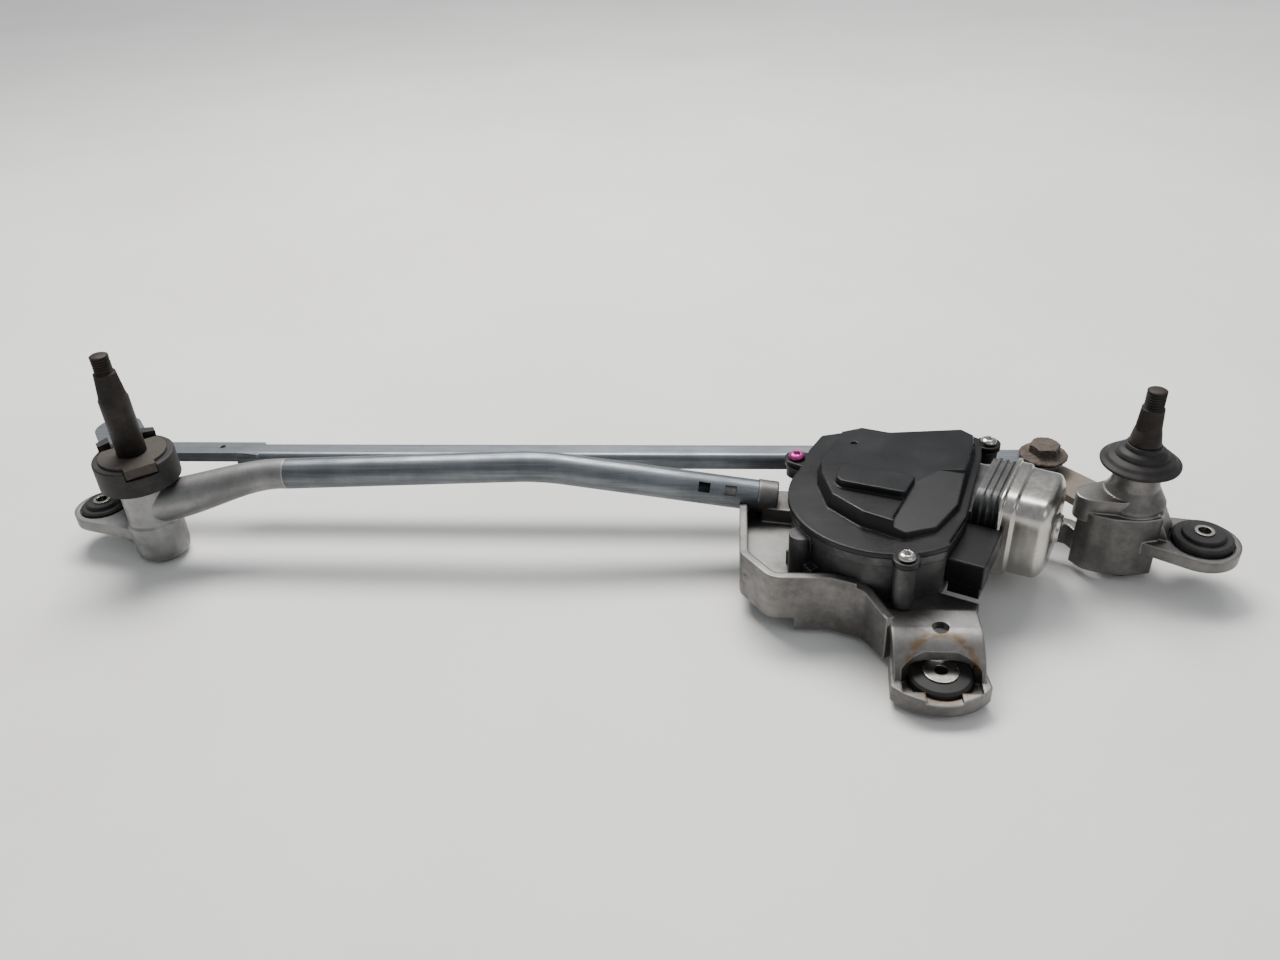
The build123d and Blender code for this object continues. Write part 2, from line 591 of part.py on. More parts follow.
# ---- motor: can, magnets, brush gear, bearings ------------------------------
CAN_STEP = 64.0
CAN_END = 83.0
CAN_WALL = 1.6
with BuildPart() as motor_can:
    motor_block(NOSE_BACK, NOSE_BACK + 2.0, CAN_HALF + 2.0, 11.0)
    motor_block(NOSE_BACK, CAN_STEP, CAN_HALF + 0.7, 10.5)
    motor_block(CAN_STEP, CAN_END, CAN_HALF - 0.7, 10.0)
    end_face = motor_can.faces().sort_by(Axis(MOTOR.origin, MOTOR.x_dir))[-1]
    fillet(end_face.edges(), 5.0)
    motor_round(CAN_END - 1, CAN_END + 2.5, 7.5)
    motor_block(NOSE_BACK - 1, CAN_END - CAN_WALL, CAN_HALF - 0.7 - CAN_WALL, 9.0, mode=Mode.SUBTRACT)
    motor_round(CAN_END - 3, CAN_END + 1.2, 6.0, mode=Mode.SUBTRACT)
    for side in (-1, 1):
        tab_z = MOTOR_Z + side * (CAN_HALF + 1.2)
        with BuildSketch(facing_axis(NOSE_BACK - 3.5, WORM_OFFSET, tab_z)) as tab:
            Rectangle(9, 1.6)
        extrude(tab.sketch, amount=5)
save(motor_can, "motor_can", "silver")

with BuildPart() as field_magnets:
    with BuildSketch(facing_axis(CAN_STEP - 4, WORM_OFFSET, MOTOR_Z)) as arcs:
        Circle(22.1)
        Circle(17.2, mode=Mode.SUBTRACT)
        Rectangle(60, 12, mode=Mode.SUBTRACT)
    extrude(arcs.sketch, amount=18)
save(field_magnets, "field_magnets", "dimgray")

with BuildPart() as brush_holder:
    motor_round(NOSE_FRONT + 2, NOSE_FRONT + 5, 20.6, 9.4)
    with BuildSketch(facing_axis(NOSE_FRONT + 5, WORM_OFFSET, MOTOR_Z)) as boxes:
        for side in (-1, 1):
            with Locations((side * 15.2, 0)):
                Rectangle(9, 8)
                Rectangle(9, 5, mode=Mode.SUBTRACT)
    extrude(boxes.sketch, amount=5)
save(brush_holder, "brush_holder", "saddlebrown")

with BuildPart() as carbon_brushes:
    with BuildSketch(facing_axis(NOSE_FRONT + 5, WORM_OFFSET, MOTOR_Z)) as brushes:
        for side in (-1, 1):
            with Locations((side * 13.0, 0)):
                Rectangle(9.2, 4.8)
    extrude(brushes.sketch, amount=5)
save(carbon_brushes, "carbon_brushes", "black")

with BuildPart() as brush_springs:
    with BuildSketch(facing_axis(NOSE_FRONT + 6, WORM_OFFSET, MOTOR_Z)) as springs:
        for side in (-1, 1):
            with Locations((side * 18.6, 0)):
                Circle(1.0)
    extrude(springs.sketch, amount=3)
save(brush_springs, "brush_springs", "silver")

with BuildPart() as front_bearing:
    motor_round(24.0, 31.0, WORM_R + 1.3, 3.0 + RUN_GAP)
save(front_bearing, "front_bearing", "darkgoldenrod")

with BuildPart() as rear_bearing:
    motor_round(CAN_END - CAN_WALL, CAN_END + 1.2, 6.0, 3.0 + RUN_GAP)
save(rear_bearing, "rear_bearing", "darkgoldenrod")

# ---- armature -----------------------------------------------------------
with BuildPart() as armature_shaft:
    motor_round(-23.0, CAN_END + 0.8, 3.0)
    motor_round(-15.0, 15.0, WORM_R - 1.6)
    for step in range(9):
        motor_round(-14.4 + 3.2 * step, -12.9 + 3.2 * step, WORM_R)
save(armature_shaft, "armature_shaft", "silver")

with BuildPart() as armature_core:
    with BuildSketch(facing_axis(CAN_STEP - 3, WORM_OFFSET, MOTOR_Z)) as lamination:
        Circle(16.4)
        Circle(3.0, mode=Mode.SUBTRACT)
        with PolarLocations(13.0, 10):
            Circle(2.4, mode=Mode.SUBTRACT)
    extrude(lamination.sketch, amount=15)
save(armature_core, "armature_core", "dimgray")

with BuildPart() as armature_windings:
    with BuildSketch(facing_axis(CAN_STEP - 6, WORM_OFFSET, MOTOR_Z)) as bundles:
        with PolarLocations(13.0, 10):
            Circle(2.3)
    extrude(bundles.sketch, amount=22)
    motor_round(CAN_STEP - 6, CAN_STEP - 3.2, 15.2, 9.0)
    motor_round(CAN_STEP + 12.2, CAN_STEP + 15, 15.2, 9.0)
save(armature_windings, "armature_windings", "chocolate")

with BuildPart() as commutator:
    with BuildSketch(facing_axis(NOSE_FRONT + 3, WORM_OFFSET, MOTOR_Z)) as segments:
        Circle(8.0)
        Circle(3.0, mode=Mode.SUBTRACT)
        with PolarLocations(8.0, 10):
            Rectangle(2.0, 0.6, mode=Mode.SUBTRACT)
    extrude(segments.sketch, amount=9)
save(commutator, "commutator", "orange")

# ---- output: wheel, shaft, crank ---------------------------------------------
with BuildPart() as worm_wheel:
    disc(MOTOR, 0, 0, 34.6, 44.4, WHEEL_R, 6.0)
    disc(MOTOR, 0, 0, 38.6, 46.0, 24.0, 10.0, mode=Mode.SUBTRACT)
    with BuildSketch(MOTOR.offset(34.0)) as gaps:
        with PolarLocations(WHEEL_R, 48):
            Rectangle(4.4, 1.9)
    extrude(gaps.sketch, amount=12, mode=Mode.SUBTRACT)
save(worm_wheel, "worm_wheel", "ivory")

with BuildPart() as output_shaft:
    turned(CRANK, [
        (0, 7), (3.6, 7), (4.0, 7.4), (4.0, CRANK_Z), (6.0, CRANK_Z), (6.0, 47), (5.4, 47.6), (0, 47.6),
    ])
save(output_shaft, "output_shaft", "silver")

with BuildPart() as motor_crank:
    hull_slab(CRANK, [(0, 0, 13.0), (*PIN, 9.0)], CRANK_Z, CRANK_Z + CRANK_T)
    disc(CRANK, 0, 0, CRANK_Z - 1, CRANK_Z + CRANK_T + 1, 6.0, mode=Mode.SUBTRACT)
    disc(CRANK, *PIN, CRANK_Z - 1, CRANK_Z + CRANK_T + 1, 4.0, mode=Mode.SUBTRACT)
save(motor_crank, "motor_crank", "slategray")

with BuildPart() as crank_nut:
    with BuildSketch(CRANK.offset(CRANK_Z - 6.3)) as hexagon:
        RegularPolygon(7.5, 6)
        Circle(4.0, mode=Mode.SUBTRACT)
    extrude(hexagon.sketch, amount=6.2)
save(crank_nut, "crank_nut", "silver")


def ball_stud(base, ball_z, plate_z, rivet_z):
    """A stud hanging from a plate: rivet, collar, neck and ball."""
    turned(base, [
        (0, ball_z), (STUD_R, ball_z), (STUD_R, plate_z - 1.6), (6.6, plate_z - 1.6), (6.6, plate_z),
        (4.0, plate_z), (4.0, rivet_z), (0, rivet_z),
    ])
    with Locations(base.from_local_coords((0, 0, ball_z))):
        Sphere(BALL_R)


def ball_cup(base, ball_z, low, plate_low, plate_high, high, hole, flange):
    """A plastic cup in a link's eye that snaps over a ball from below."""
    turned(base, [
        (0, low), (flange, low), (flange, plate_low), (hole, plate_low), (hole, plate_high),
        (hole + 1.2, plate_high), (hole, high), (0, high),
    ])
    with Locations(base.from_local_coords((0, 0, ball_z))):
        Sphere(BALL_R + RUN_GAP, mode=Mode.SUBTRACT)
    disc(base, 0, 0, ball_z, high + 1, STUD_R + FREE_GAP, mode=Mode.SUBTRACT)


crank_pin = shifted(CRANK, *PIN)
right_pin = shifted(RIGHT, *PIN)
left_pin = shifted(LEFT, *PIN)

with BuildPart() as crank_ball_stud:
    ball_stud(crank_pin, LOW_BALL_Z, CRANK_Z, CRANK_Z + CRANK_T + 0.8)
save(crank_ball_stud, "crank_ball_stud", "silver")

# ---- short link: motor crank to right lever -----------------------------------
LINK_W = 12.0
LINK_T = 2.5
LINK_LOW = 8.2
LINK_HIGH = 18.7
CUP_HOLE_R = 7.4
link_span = Vector(*right_pin.origin) - Vector(*crank_pin.origin)
LINK_L = link_span.length
LINK = Plane(origin=crank_pin.origin, x_dir=link_span, z_dir=(0, 0, 1))

with BuildPart() as short_link_bar:
    joggle = outline(upright(LINK), [
        (0, LINK_LOW), (LINK_L - 50, LINK_LOW), (LINK_L - 36, LINK_HIGH), (LINK_L, LINK_HIGH),
        (LINK_L, LINK_HIGH + LINK_T), (LINK_L - 37.2, LINK_HIGH + LINK_T),
        (LINK_L - 51.2, LINK_LOW + LINK_T), (0, LINK_LOW + LINK_T),
    ])
    extrude(joggle, amount=LINK_W / 2, both=True)
    disc(LINK, 0, 0, LINK_LOW, LINK_LOW + LINK_T, 10.5)
    disc(LINK, LINK_L, 0, LINK_HIGH, LINK_HIGH + LINK_T, 10.5)
    disc(LINK, 0, 0, LINK_LOW - 1, LINK_LOW + LINK_T + 1, CUP_HOLE_R, mode=Mode.SUBTRACT)
    disc(LINK, LINK_L, 0, LINK_HIGH - 1, LINK_HIGH + LINK_T + 1, CUP_HOLE_R, mode=Mode.SUBTRACT)
save(short_link_bar, "short_link_bar", "slategray")

with BuildPart() as short_link_cups:
    ball_cup(crank_pin, LOW_BALL_Z, 3.4, LINK_LOW, LINK_LOW + LINK_T, 13.0, CUP_HOLE_R, 8.8)
    ball_cup(right_pin, HIGH_BALL_Z, 13.9, LINK_HIGH, LINK_HIGH + LINK_T, 23.5, CUP_HOLE_R, 8.8)
save(short_link_cups, "short_link_cups", "black")

# ---- right spindle, lever, pin and boot ---------------------------------------
CONE_R = 5.7
THREAD_R = 5.0
with BuildPart() as right_shaft:
    turned(RIGHT, [
        (0, 1.5), (6.4, 1.5), (SHAFT_R, 2.1), (SHAFT_R, 79.0), (8.2, 79.3), (8.1, 80.2), (6.9, 87.0),
        (6.6, 87.3), (CONE_R, 100.0), (THREAD_R, 100.0), (THREAD_R, 109.7), (4.2, RIGHT_SPINDLE_TOP),
        (0, RIGHT_SPINDLE_TOP),
    ])
save(right_shaft, "right_shaft", "dimgray")

with BuildPart() as right_lever:
    hull_slab(RIGHT, [(0, 0, 13.5), (*PIN, 10.5)], RIGHT_LEVER_Z, RIGHT_LEVER_Z + RIGHT_LEVER_T)
    disc(RIGHT, 0, 0, 20, 40, SHAFT_R, mode=Mode.SUBTRACT)
    disc(RIGHT, *PIN, 20, 40, 4.0, mode=Mode.SUBTRACT)
save(right_lever, "right_lever", "tan")

with BuildPart() as right_ball_stud:
    ball_stud(right_pin, HIGH_BALL_Z, RIGHT_LEVER_Z, RIGHT_LEVER_Z + 2.2)
save(right_ball_stud, "right_ball_stud", "silver")

with BuildPart() as right_rod_pin:
    turned(right_pin, [
        (0, 32.3), (4.0, 32.3), (4.0, 34.5), (5.0, 34.5), (5.0, 42.0), (13.5, 42.4), (13.5, 43.4),
        (9.6, 45.0), (0, 45.0),
    ])
    with BuildSketch(right_pin.offset(45.0)) as head:
        RegularPolygon(8.8, 6)
    extrude(head.sketch, amount=5.0)
    fillet(right_rod_pin.edges().group_by(Axis.Z)[-1], 1.2)
save(right_rod_pin, "right_rod_pin", "sienna")

with BuildPart() as right_thrust_washer:
    disc(RIGHT, 0, 0, 34.6, 35.6, 11.5, SHAFT_R)
save(right_thrust_washer, "right_thrust_washer", "silver")

with BuildPart() as right_boot:
    turned(RIGHT, [
        (SHAFT_R, 70.0), (SHAFT_R, 79.0), (8.8, 79.0), (9.4, 77.6), (9.4, 76.4), (12.2, 75.2), (13.4, 73.4),
        (13.4, 72.4), (16.8, 71.2), (18.0, 69.6), (20.4, 68.2), (20.4, 66.9), (18.5, 66.2), (13.2, 64.8),
        (12.9, 63.5), (12.4, 63.5), (12.4, 66.6), (10.5, 69.0),
    ])
save(right_boot, "right_boot", "black")

# ---- long rod: right lever to left lever ----------------------------------------
SPAN = SPINDLE_SPAN
EYE_T = 3.0
ROD = left_pin
with BuildPart() as long_rod:
    with BuildSketch(upright(turned_plane(shifted(ROD, 74, 0), 90))) as channel:
        with Locations((0, ROD_Z + ROD_H / 2)):
            RectangleRounded(ROD_W, ROD_H, 3.6)
        with Locations((0, ROD_Z + 2.4)):
            Rectangle(ROD_W, 4.8)
        with Locations((0, ROD_Z + ROD_H / 2 - 1.8)):
            RectangleRounded(ROD_W - 3.6, ROD_H, 2.4, mode=Mode.SUBTRACT)
        with Locations((0, ROD_Z + 0.9)):
            Rectangle(ROD_W - 3.6, 1.9, mode=Mode.SUBTRACT)
    extrude(channel.sketch, amount=SPAN - 120)
    slab(ROD, [(6, -5.5), (76, -5.5), (88, -7.5), (88, 7.5), (76, 7.5), (6, 7.5)], 42.4, 45.4, corner=0.8)
    slab(ROD, [(12, -5.5), (76, -5.5), (88, -7.5), (88, -5.0), (75, -3.2), (12, -3.2)], 39.2, 42.6)
    disc(ROD, 0, 0, 42.4, 45.4, 10.6)
    slab(ROD, [
        (SPAN - 52, -7.5), (SPAN - 40, -9), (SPAN, -9), (SPAN, 9), (SPAN - 40, 9), (SPAN - 52, 7.5),
    ], 37.4, 37.4 + EYE_T, corner=2.0)
    slab(ROD, [(SPAN - 52, -7.5), (SPAN - 44, -7.5), (SPAN - 44, 7.5), (SPAN - 52, 7.5)], 37.4, 43.6)
    disc(ROD, SPAN, 0, 37.4, 37.4 + EYE_T, 11.5)
    disc(ROD, 0, 0, 40, 47, CUP_HOLE_R, mode=Mode.SUBTRACT)
    disc(ROD, SPAN, 0, 36, 42, 8.0, mode=Mode.SUBTRACT)
    disc(ROD, 62, 2.0, 40, 47, 1.8, mode=Mode.SUBTRACT)
save(long_rod, "long_rod", "slategray")

with BuildPart() as long_rod_cup:
    ball_cup(left_pin, 43.6, 37.2, 42.4, 45.4, 47.4, CUP_HOLE_R, 9.4)
save(long_rod_cup, "long_rod_cup", "black")

with BuildPart() as long_rod_bush:
    turned(right_pin, [
        (5.0 + RUN_GAP, 35.0), (10.0, 35.0), (10.0, 37.4), (8.0, 37.4), (8.0, 41.6), (5.0 + RUN_GAP, 41.6),
    ])
save(long_rod_bush, "long_rod_bush", "black")

# ---- left spindle, lever and cap --------------------------------------------------
CAP_R = 22.5
CAP_LOW = 54.0
CAP_TOP = 70.0
with BuildPart() as left_shaft:
    turned(LEFT, [
        (0, 6), (6.4, 6), (SHAFT_R, 6.6), (SHAFT_R, 72.2), (8.1, 72.2), (8.1, 106.5), (7.5, 107.6),
        (CONE_R + 0.2, 122.4), (THREAD_R, 122.4), (THREAD_R, 132.2), (4.2, LEFT_SPINDLE_TOP),
        (0, LEFT_SPINDLE_TOP),
    ])
save(left_shaft, "left_shaft", "dimgray")

with BuildPart() as left_lever:
    hull_slab(LEFT, [(0, 0, 14.0), (*PIN, 13.4)], LEFT_LEVER_Z, LEFT_LEVER_Z + LEFT_LEVER_T)
    disc(LEFT, 0, 0, 50, 66, SHAFT_R, mode=Mode.SUBTRACT)
    disc(LEFT, *PIN, 50, 66, 4.0, mode=Mode.SUBTRACT)
save(left_lever, "left_lever", "lightgray")

with BuildPart() as left_ball_stud:
    ball_stud(left_pin, 43.6, LEFT_LEVER_Z, LEFT_LEVER_Z + LEFT_LEVER_T + 0.8)
save(left_ball_stud, "left_ball_stud", "silver")

lever_frame = turned_plane(LEFT, PARKED_ANGLE)
with BuildPart() as left_cap:
    disc(LEFT, 0, 0, CAP_LOW, CAP_TOP, CAP_R)
    fillet(left_cap.edges().group_by(Axis.Z)[-1], 1.0)
    for side in (-1, 1):
        tab_outline = [(14, side * 9), (21, side * 9), (17, side * 16), (12, side * 16)]
        slab(lever_frame, tab_outline, CAP_TOP - 1, CAP_TOP + 4.5)
    disc(LEFT, 0, 0, CAP_LOW - 1, CAP_TOP - 2.4, CAP_R - 2.6, mode=Mode.SUBTRACT)
    disc(LEFT, 0, 0, CAP_LOW - 1, CAP_TOP + 1, SHAFT_R, mode=Mode.SUBTRACT)
    mouth_top = LEFT_LEVER_Z + LEFT_LEVER_T + 1.2
    mouth = [(10, -15.5), (30, -15.5), (30, 15.5), (10, 15.5)]
    slab(lever_frame, mouth, CAP_LOW - 1, mouth_top, mode=Mode.SUBTRACT)
    notch = [(-30, -9), (-18.4, -9), (-18.4, 9), (-30, 9)]
    slab(lever_frame, notch, CAP_TOP - 5, CAP_TOP + 1, mode=Mode.SUBTRACT)
save(left_cap, "left_cap", "black")

with BuildPart() as left_lock_plate:
    with BuildSketch(lever_frame.offset(CAP_TOP)) as plate:
        Circle(18.6)
        with Locations((-14, 0)):
            Rectangle(14, 17)
        Circle(SHAFT_R, mode=Mode.SUBTRACT)
        with Locations((17.5, 12.5), (17.5, -12.5)):
            Rectangle(13, 9, mode=Mode.SUBTRACT)
    extrude(plate.sketch, amount=1.6)
    slab(lever_frame, [(-21, -8.5), (-19.4, -8.5), (-19.4, 8.5), (-21, 8.5)], CAP_TOP - 4, CAP_TOP + 1)
save(left_lock_plate, "left_lock_plate", "rosybrown")

with BuildPart() as left_thrust_washer:
    disc(LEFT, 0, 0, 53.0, 54.4, 11.5, SHAFT_R)
save(left_thrust_washer, "left_thrust_washer", "silver")
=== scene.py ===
"""Looks of a front wiper drive: finishes, smooth pieces, camera, floor and light around its CAD frame."""

import json
import logging
import math
from dataclasses import dataclass, field
from enum import Enum
from typing import Any, Callable, Sequence

import bmesh
import bpy
import numpy as np
from mathutils import Matrix, Vector


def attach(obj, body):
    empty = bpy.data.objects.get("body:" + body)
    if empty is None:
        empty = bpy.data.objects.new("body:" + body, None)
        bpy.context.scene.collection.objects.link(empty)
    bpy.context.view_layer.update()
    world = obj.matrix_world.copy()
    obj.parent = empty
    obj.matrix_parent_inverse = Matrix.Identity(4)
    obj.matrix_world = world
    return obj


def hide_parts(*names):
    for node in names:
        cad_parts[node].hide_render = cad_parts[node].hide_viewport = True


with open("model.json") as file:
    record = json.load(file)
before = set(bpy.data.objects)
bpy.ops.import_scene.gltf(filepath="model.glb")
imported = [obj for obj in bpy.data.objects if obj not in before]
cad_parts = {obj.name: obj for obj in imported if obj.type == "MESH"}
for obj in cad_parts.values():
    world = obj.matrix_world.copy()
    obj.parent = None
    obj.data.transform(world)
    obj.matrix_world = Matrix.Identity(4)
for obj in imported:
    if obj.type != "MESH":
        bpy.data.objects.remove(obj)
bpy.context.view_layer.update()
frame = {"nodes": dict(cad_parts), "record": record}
LOG = logging.getLogger("wiper_drive")
MM = 0.001
SEAM_GAP = 1e-6  # metres; points nearer than this are one point
SLIVER = 1e-7  # metres; edges shorter than this are dissolved
CORNER_LIMIT_MM = 0.6  # the most that a softened corner takes of a run
Colour = tuple[float, float, float]


# ---- shader maths ---------------------------------------------------------


class Value:
    """A number on a shader socket, which Python operators extend with Math nodes."""

    def __init__(self, paint: "Paint", socket: bpy.types.NodeSocket) -> None:
        """Keep the socket and the paint that owns its node tree."""
        self.paint = paint
        self.socket = socket

    def _maths(self, operation: str, first: Any, second: Any) -> "Value":
        """Add one Math node.

        Args:
            operation: the Math node's operation.
            first: its first input.
            second: its second input.

        Returns:
            The result.
        """
        made = self.paint.node("ShaderNodeMath", {"operation": operation}, {0: first, 1: second})
        return Value(self.paint, made.outputs[0])

    def __add__(self, other: Any) -> "Value":
        """Return the sum."""
        return self._maths("ADD", self, other)

    __radd__ = __add__

    def __sub__(self, other: Any) -> "Value":
        """Return the difference."""
        return self._maths("SUBTRACT", self, other)

    def __rsub__(self, other: Any) -> "Value":
        """Return the other less this."""
        return self._maths("SUBTRACT", other, self)

    def __mul__(self, other: Any) -> "Value":
        """Return the product."""
        return self._maths("MULTIPLY", self, other)

    __rmul__ = __mul__

    def clipped(self, low: float, high: float) -> "Value":
        """Return 0 below low and 1 above high, smooth between."""
        made = self.paint.node(
            "ShaderNodeMapRange",
            {"interpolation_type": "SMOOTHSTEP", "clamp": True},
            {0: self, 1: low, 2: high, 3: 0.0, 4: 1.0},
        )
        return Value(self.paint, made.outputs[0])


class Paint:
    """One material under construction, with short ways to add its nodes."""

    def __init__(self, name: str) -> None:
        """Start a material with a Principled shader and Object coordinates.

        Args:
            name: the material's name.
        """
        self.material = bpy.data.materials.new(name)
        self.material.use_nodes = True
        self.tree = self.material.node_tree
        self.shader = self.tree.nodes["Principled BSDF"]
        self.place = self.tree.nodes.new("ShaderNodeTexCoord").outputs["Object"]

    def node(self, kind: str, settings: dict[str, Any], inputs: dict[Any, Any]) -> bpy.types.Node:
        """Add a node.

        Args:
            kind: the node's type name.
            settings: properties set on it first.
            inputs: a value or a link for each named or numbered socket.

        Returns:
            The node.
        """
        made = self.tree.nodes.new(kind)
        for key, value in settings.items():
            setattr(made, key, value)
        for key, value in inputs.items():
            self.feed(made.inputs[key], value)
        return made

    def feed(self, socket: bpy.types.NodeSocket, value: Any) -> None:
        """Set a socket to a number or a colour, or link it.

        Args:
            socket: the input to feed.
            value: a Value, a socket, a colour or a number.
        """
        if isinstance(value, Value):
            self.tree.links.new(value.socket, socket)
        elif isinstance(value, bpy.types.NodeSocket):
            self.tree.links.new(value, socket)
        elif isinstance(value, tuple) and socket.type == "RGBA":
            socket.default_value = (*value, 1.0)
        else:
            socket.default_value = value

    def stretched(self, scale: Sequence[float], turn: float = 0.0) -> bpy.types.NodeSocket:
        """Return Object coordinates turned about Z and scaled along each axis."""
        made = self.node(
            "ShaderNodeMapping",
            {"vector_type": "POINT"},
            {"Vector": self.place, "Rotation": (0.0, 0.0, turn), "Scale": tuple(scale)},
        )
        return made.outputs[0]

    def noise(self, scale: float, detail: float = 4.0, rough: float = 0.55, at: Any = None) -> Value:
        """Return fractal noise from 0 to 1.

        Args:
            scale: lumps per metre.
            detail: octaves.
            rough: share that each finer octave keeps.
            at: coordinates, or None for Object coordinates.

        Returns:
            The noise.
        """
        made = self.node(
            "ShaderNodeTexNoise",
            {"noise_dimensions": "3D"},
            {"Vector": at or self.place, "Scale": scale, "Detail": detail, "Roughness": rough},
        )
        return Value(self, made.outputs["Fac"])

    def cells(self, scale: float, at: Any = None) -> Value:
        """Return the distance to the nearest of a scatter of points, in cell sizes."""
        inputs = {"Vector": at or self.place, "Scale": scale}
        made = self.node("ShaderNodeTexVoronoi", {"feature": "F1"}, inputs)
        return Value(self, made.outputs["Distance"])

    def near(self, centre: Sequence[float], radius: float, soft: float) -> Value:
        """Return 1 within radius of a point and 0 beyond radius + soft."""
        made = self.node("ShaderNodeVectorMath", {"operation": "DISTANCE"}, {0: self.place, 1: tuple(centre)})
        return 1.0 - Value(self, made.outputs["Value"]).clipped(radius, radius + soft)

    def mix(self, factor: Any, low: Any, high: Any) -> bpy.types.NodeSocket:
        """Return the colour low where factor is 0 and high where it is 1."""
        made = self.node("ShaderNodeMix", {"data_type": "RGBA", "clamp_factor": True}, {})
        for socket, value in ((made.inputs[0], factor), (made.inputs[6], low), (made.inputs[7], high)):
            self.feed(socket, value)
        return made.outputs[2]

    def edges(self, radius: float) -> tuple[Value, bpy.types.NodeSocket]:
        """Find the edges of a shape.

        The bevelled normal averages the true normals within radius, so its dot product with
        the true normal falls from 1 as a sharp edge comes near.

        Args:
            radius: how far from an edge it counts, in metres.

        Returns:
            1 on edges and 0 away from them, and the rounded normal.
        """
        bevel = self.node("ShaderNodeBevel", {"samples": 6}, {"Radius": radius})
        geometry = self.node("ShaderNodeNewGeometry", {}, {})
        dot = self.node(
            "ShaderNodeVectorMath",
            {"operation": "DOT_PRODUCT"},
            {0: bevel.outputs[0], 1: geometry.outputs["Normal"]},
        )
        return 1.0 - Value(self, dot.outputs["Value"]).clipped(0.80, 0.995), bevel.outputs[0]

    def bump(self, height: Any, depth: float, normal: Any = None) -> bpy.types.NodeSocket:
        """Return a normal bumped by a height field of the given depth in metres."""
        inputs = {"Height": height, "Distance": depth}
        if normal is not None:
            inputs["Normal"] = normal
        return self.node("ShaderNodeBump", {}, inputs).outputs[0]

    def finish(self, **sockets: Any) -> bpy.types.Material:
        """Feed the shader's sockets, with _ for the spaces in their names, and return the material."""
        for name, value in sockets.items():
            self.feed(self.shader.inputs[name.replace("_", " ")], value)
        return self.material


# ---- finishes ---------------------------------------------------------------


class Slot(Enum):
    """The record's material slots."""

    CAST_PALE = "cast_pale"
    CAST_GREY = "cast_grey"
    CAST_DARK = "cast_dark"
    ZINC_STEEL = "zinc_steel"
    BRIGHT_STEEL = "bright_steel"
    TAN_STEEL = "tan_steel"
    RUSTY_STEEL = "rusty_steel"
    BLACK_OXIDE = "black_oxide"
    RUBBER = "rubber"
    BLACK_PLASTIC = "black_plastic"
    BRONZE = "bronze"
    COPPER = "copper"
    IVORY_NYLON = "ivory_nylon"
    GREEN_BOARD = "green_board"
    BROWN_PLASTIC = "brown_plastic"
    FERRITE = "ferrite"
    CARBON = "carbon"


@dataclass(frozen=True)
class CastAlloy:
    """Die-cast aluminium: mottled grey skin, fine grain, and edges paled by a painted highlight."""

    name: str
    pale: Colour
    dark: Colour
    roughness: float = 0.42
    grain: float = 1400.0
    grain_depth: float = 0.00006
    edge_radius: float = 0.0011
    stain_at: tuple[float, float, float] | None = None
    stain_radius: float = 0.012

    def make(self) -> bpy.types.Material:
        """Build the material.

        Returns:
            The material.
        """
        paint = Paint(self.name)
        cloud = paint.noise(28.0, 6.0, 0.62)
        patches = paint.noise(150.0, 4.0, 0.7)
        grain = paint.noise(self.grain, 3.0, 0.7)
        edge, rounded = paint.edges(self.edge_radius)
        mottled = (cloud * 0.7 + patches * 0.3).clipped(0.36, 0.66)
        colour = paint.mix(mottled, self.dark, self.pale)
        # painted highlight: the edges are brightened in colour, towards nearly twice the pale tone
        painted_edge_highlight = tuple(min(1.0, 1.9 * c) for c in self.pale)
        colour = paint.mix(edge * 0.85, colour, painted_edge_highlight)
        if self.stain_at:
            outer = paint.near(self.stain_at, self.stain_radius, self.stain_radius * 0.22)
            inner = paint.near(self.stain_at, self.stain_radius * 0.86, self.stain_radius * 0.10)
            ring = (outer - inner) * paint.noise(260.0, 4.0).clipped(0.30, 0.55)
            colour = paint.mix(ring * 0.7, colour, (0.13, 0.070, 0.020))
        rough = self.roughness + (1.0 - mottled) * 0.16 + (grain - 0.5) * 0.14 - edge * 0.12
        normal = paint.bump(grain + patches * 0.8, self.grain_depth, rounded)
        return paint.finish(Base_Color=colour, Metallic=0.92, Roughness=rough, Normal=normal)


@dataclass(frozen=True)
class PlatedSteel:
    """Zinc-plated strip or tube: cool grey, drawn along X."""

    name: str
    pale: Colour = (0.185, 0.20, 0.215)
    dark: Colour = (0.095, 0.105, 0.115)
    roughness: float = 0.36

    def make(self) -> bpy.types.Material:
        """Build the material.

        Returns:
            The material.
        """
        paint = Paint(self.name)
        drawn = paint.noise(1.0, 5.0, 0.6, paint.stretched((18.0, 700.0, 700.0)))
        cloud = paint.noise(34.0, 5.0, 0.6)
        specks = paint.cells(520.0).clipped(0.10, 0.30)
        edge, rounded = paint.edges(0.0007)
        tone = (drawn * 0.45 + cloud * 0.55).clipped(0.33, 0.66)
        colour = paint.mix(tone, self.dark, self.pale)
        colour = paint.mix((1.0 - specks) * 0.25, colour, (0.07, 0.075, 0.08))
        # painted highlight: the edges are paled in colour towards a light grey
        colour = paint.mix(edge * 0.5, colour, (0.34, 0.355, 0.37))
        rough = self.roughness + (1.0 - tone) * 0.12 + (drawn - 0.5) * 0.12
        normal = paint.bump(drawn * 0.5 + cloud * 0.5, 0.00004, rounded)
        return paint.finish(Base_Color=colour, Metallic=0.9, Roughness=rough, Normal=normal)


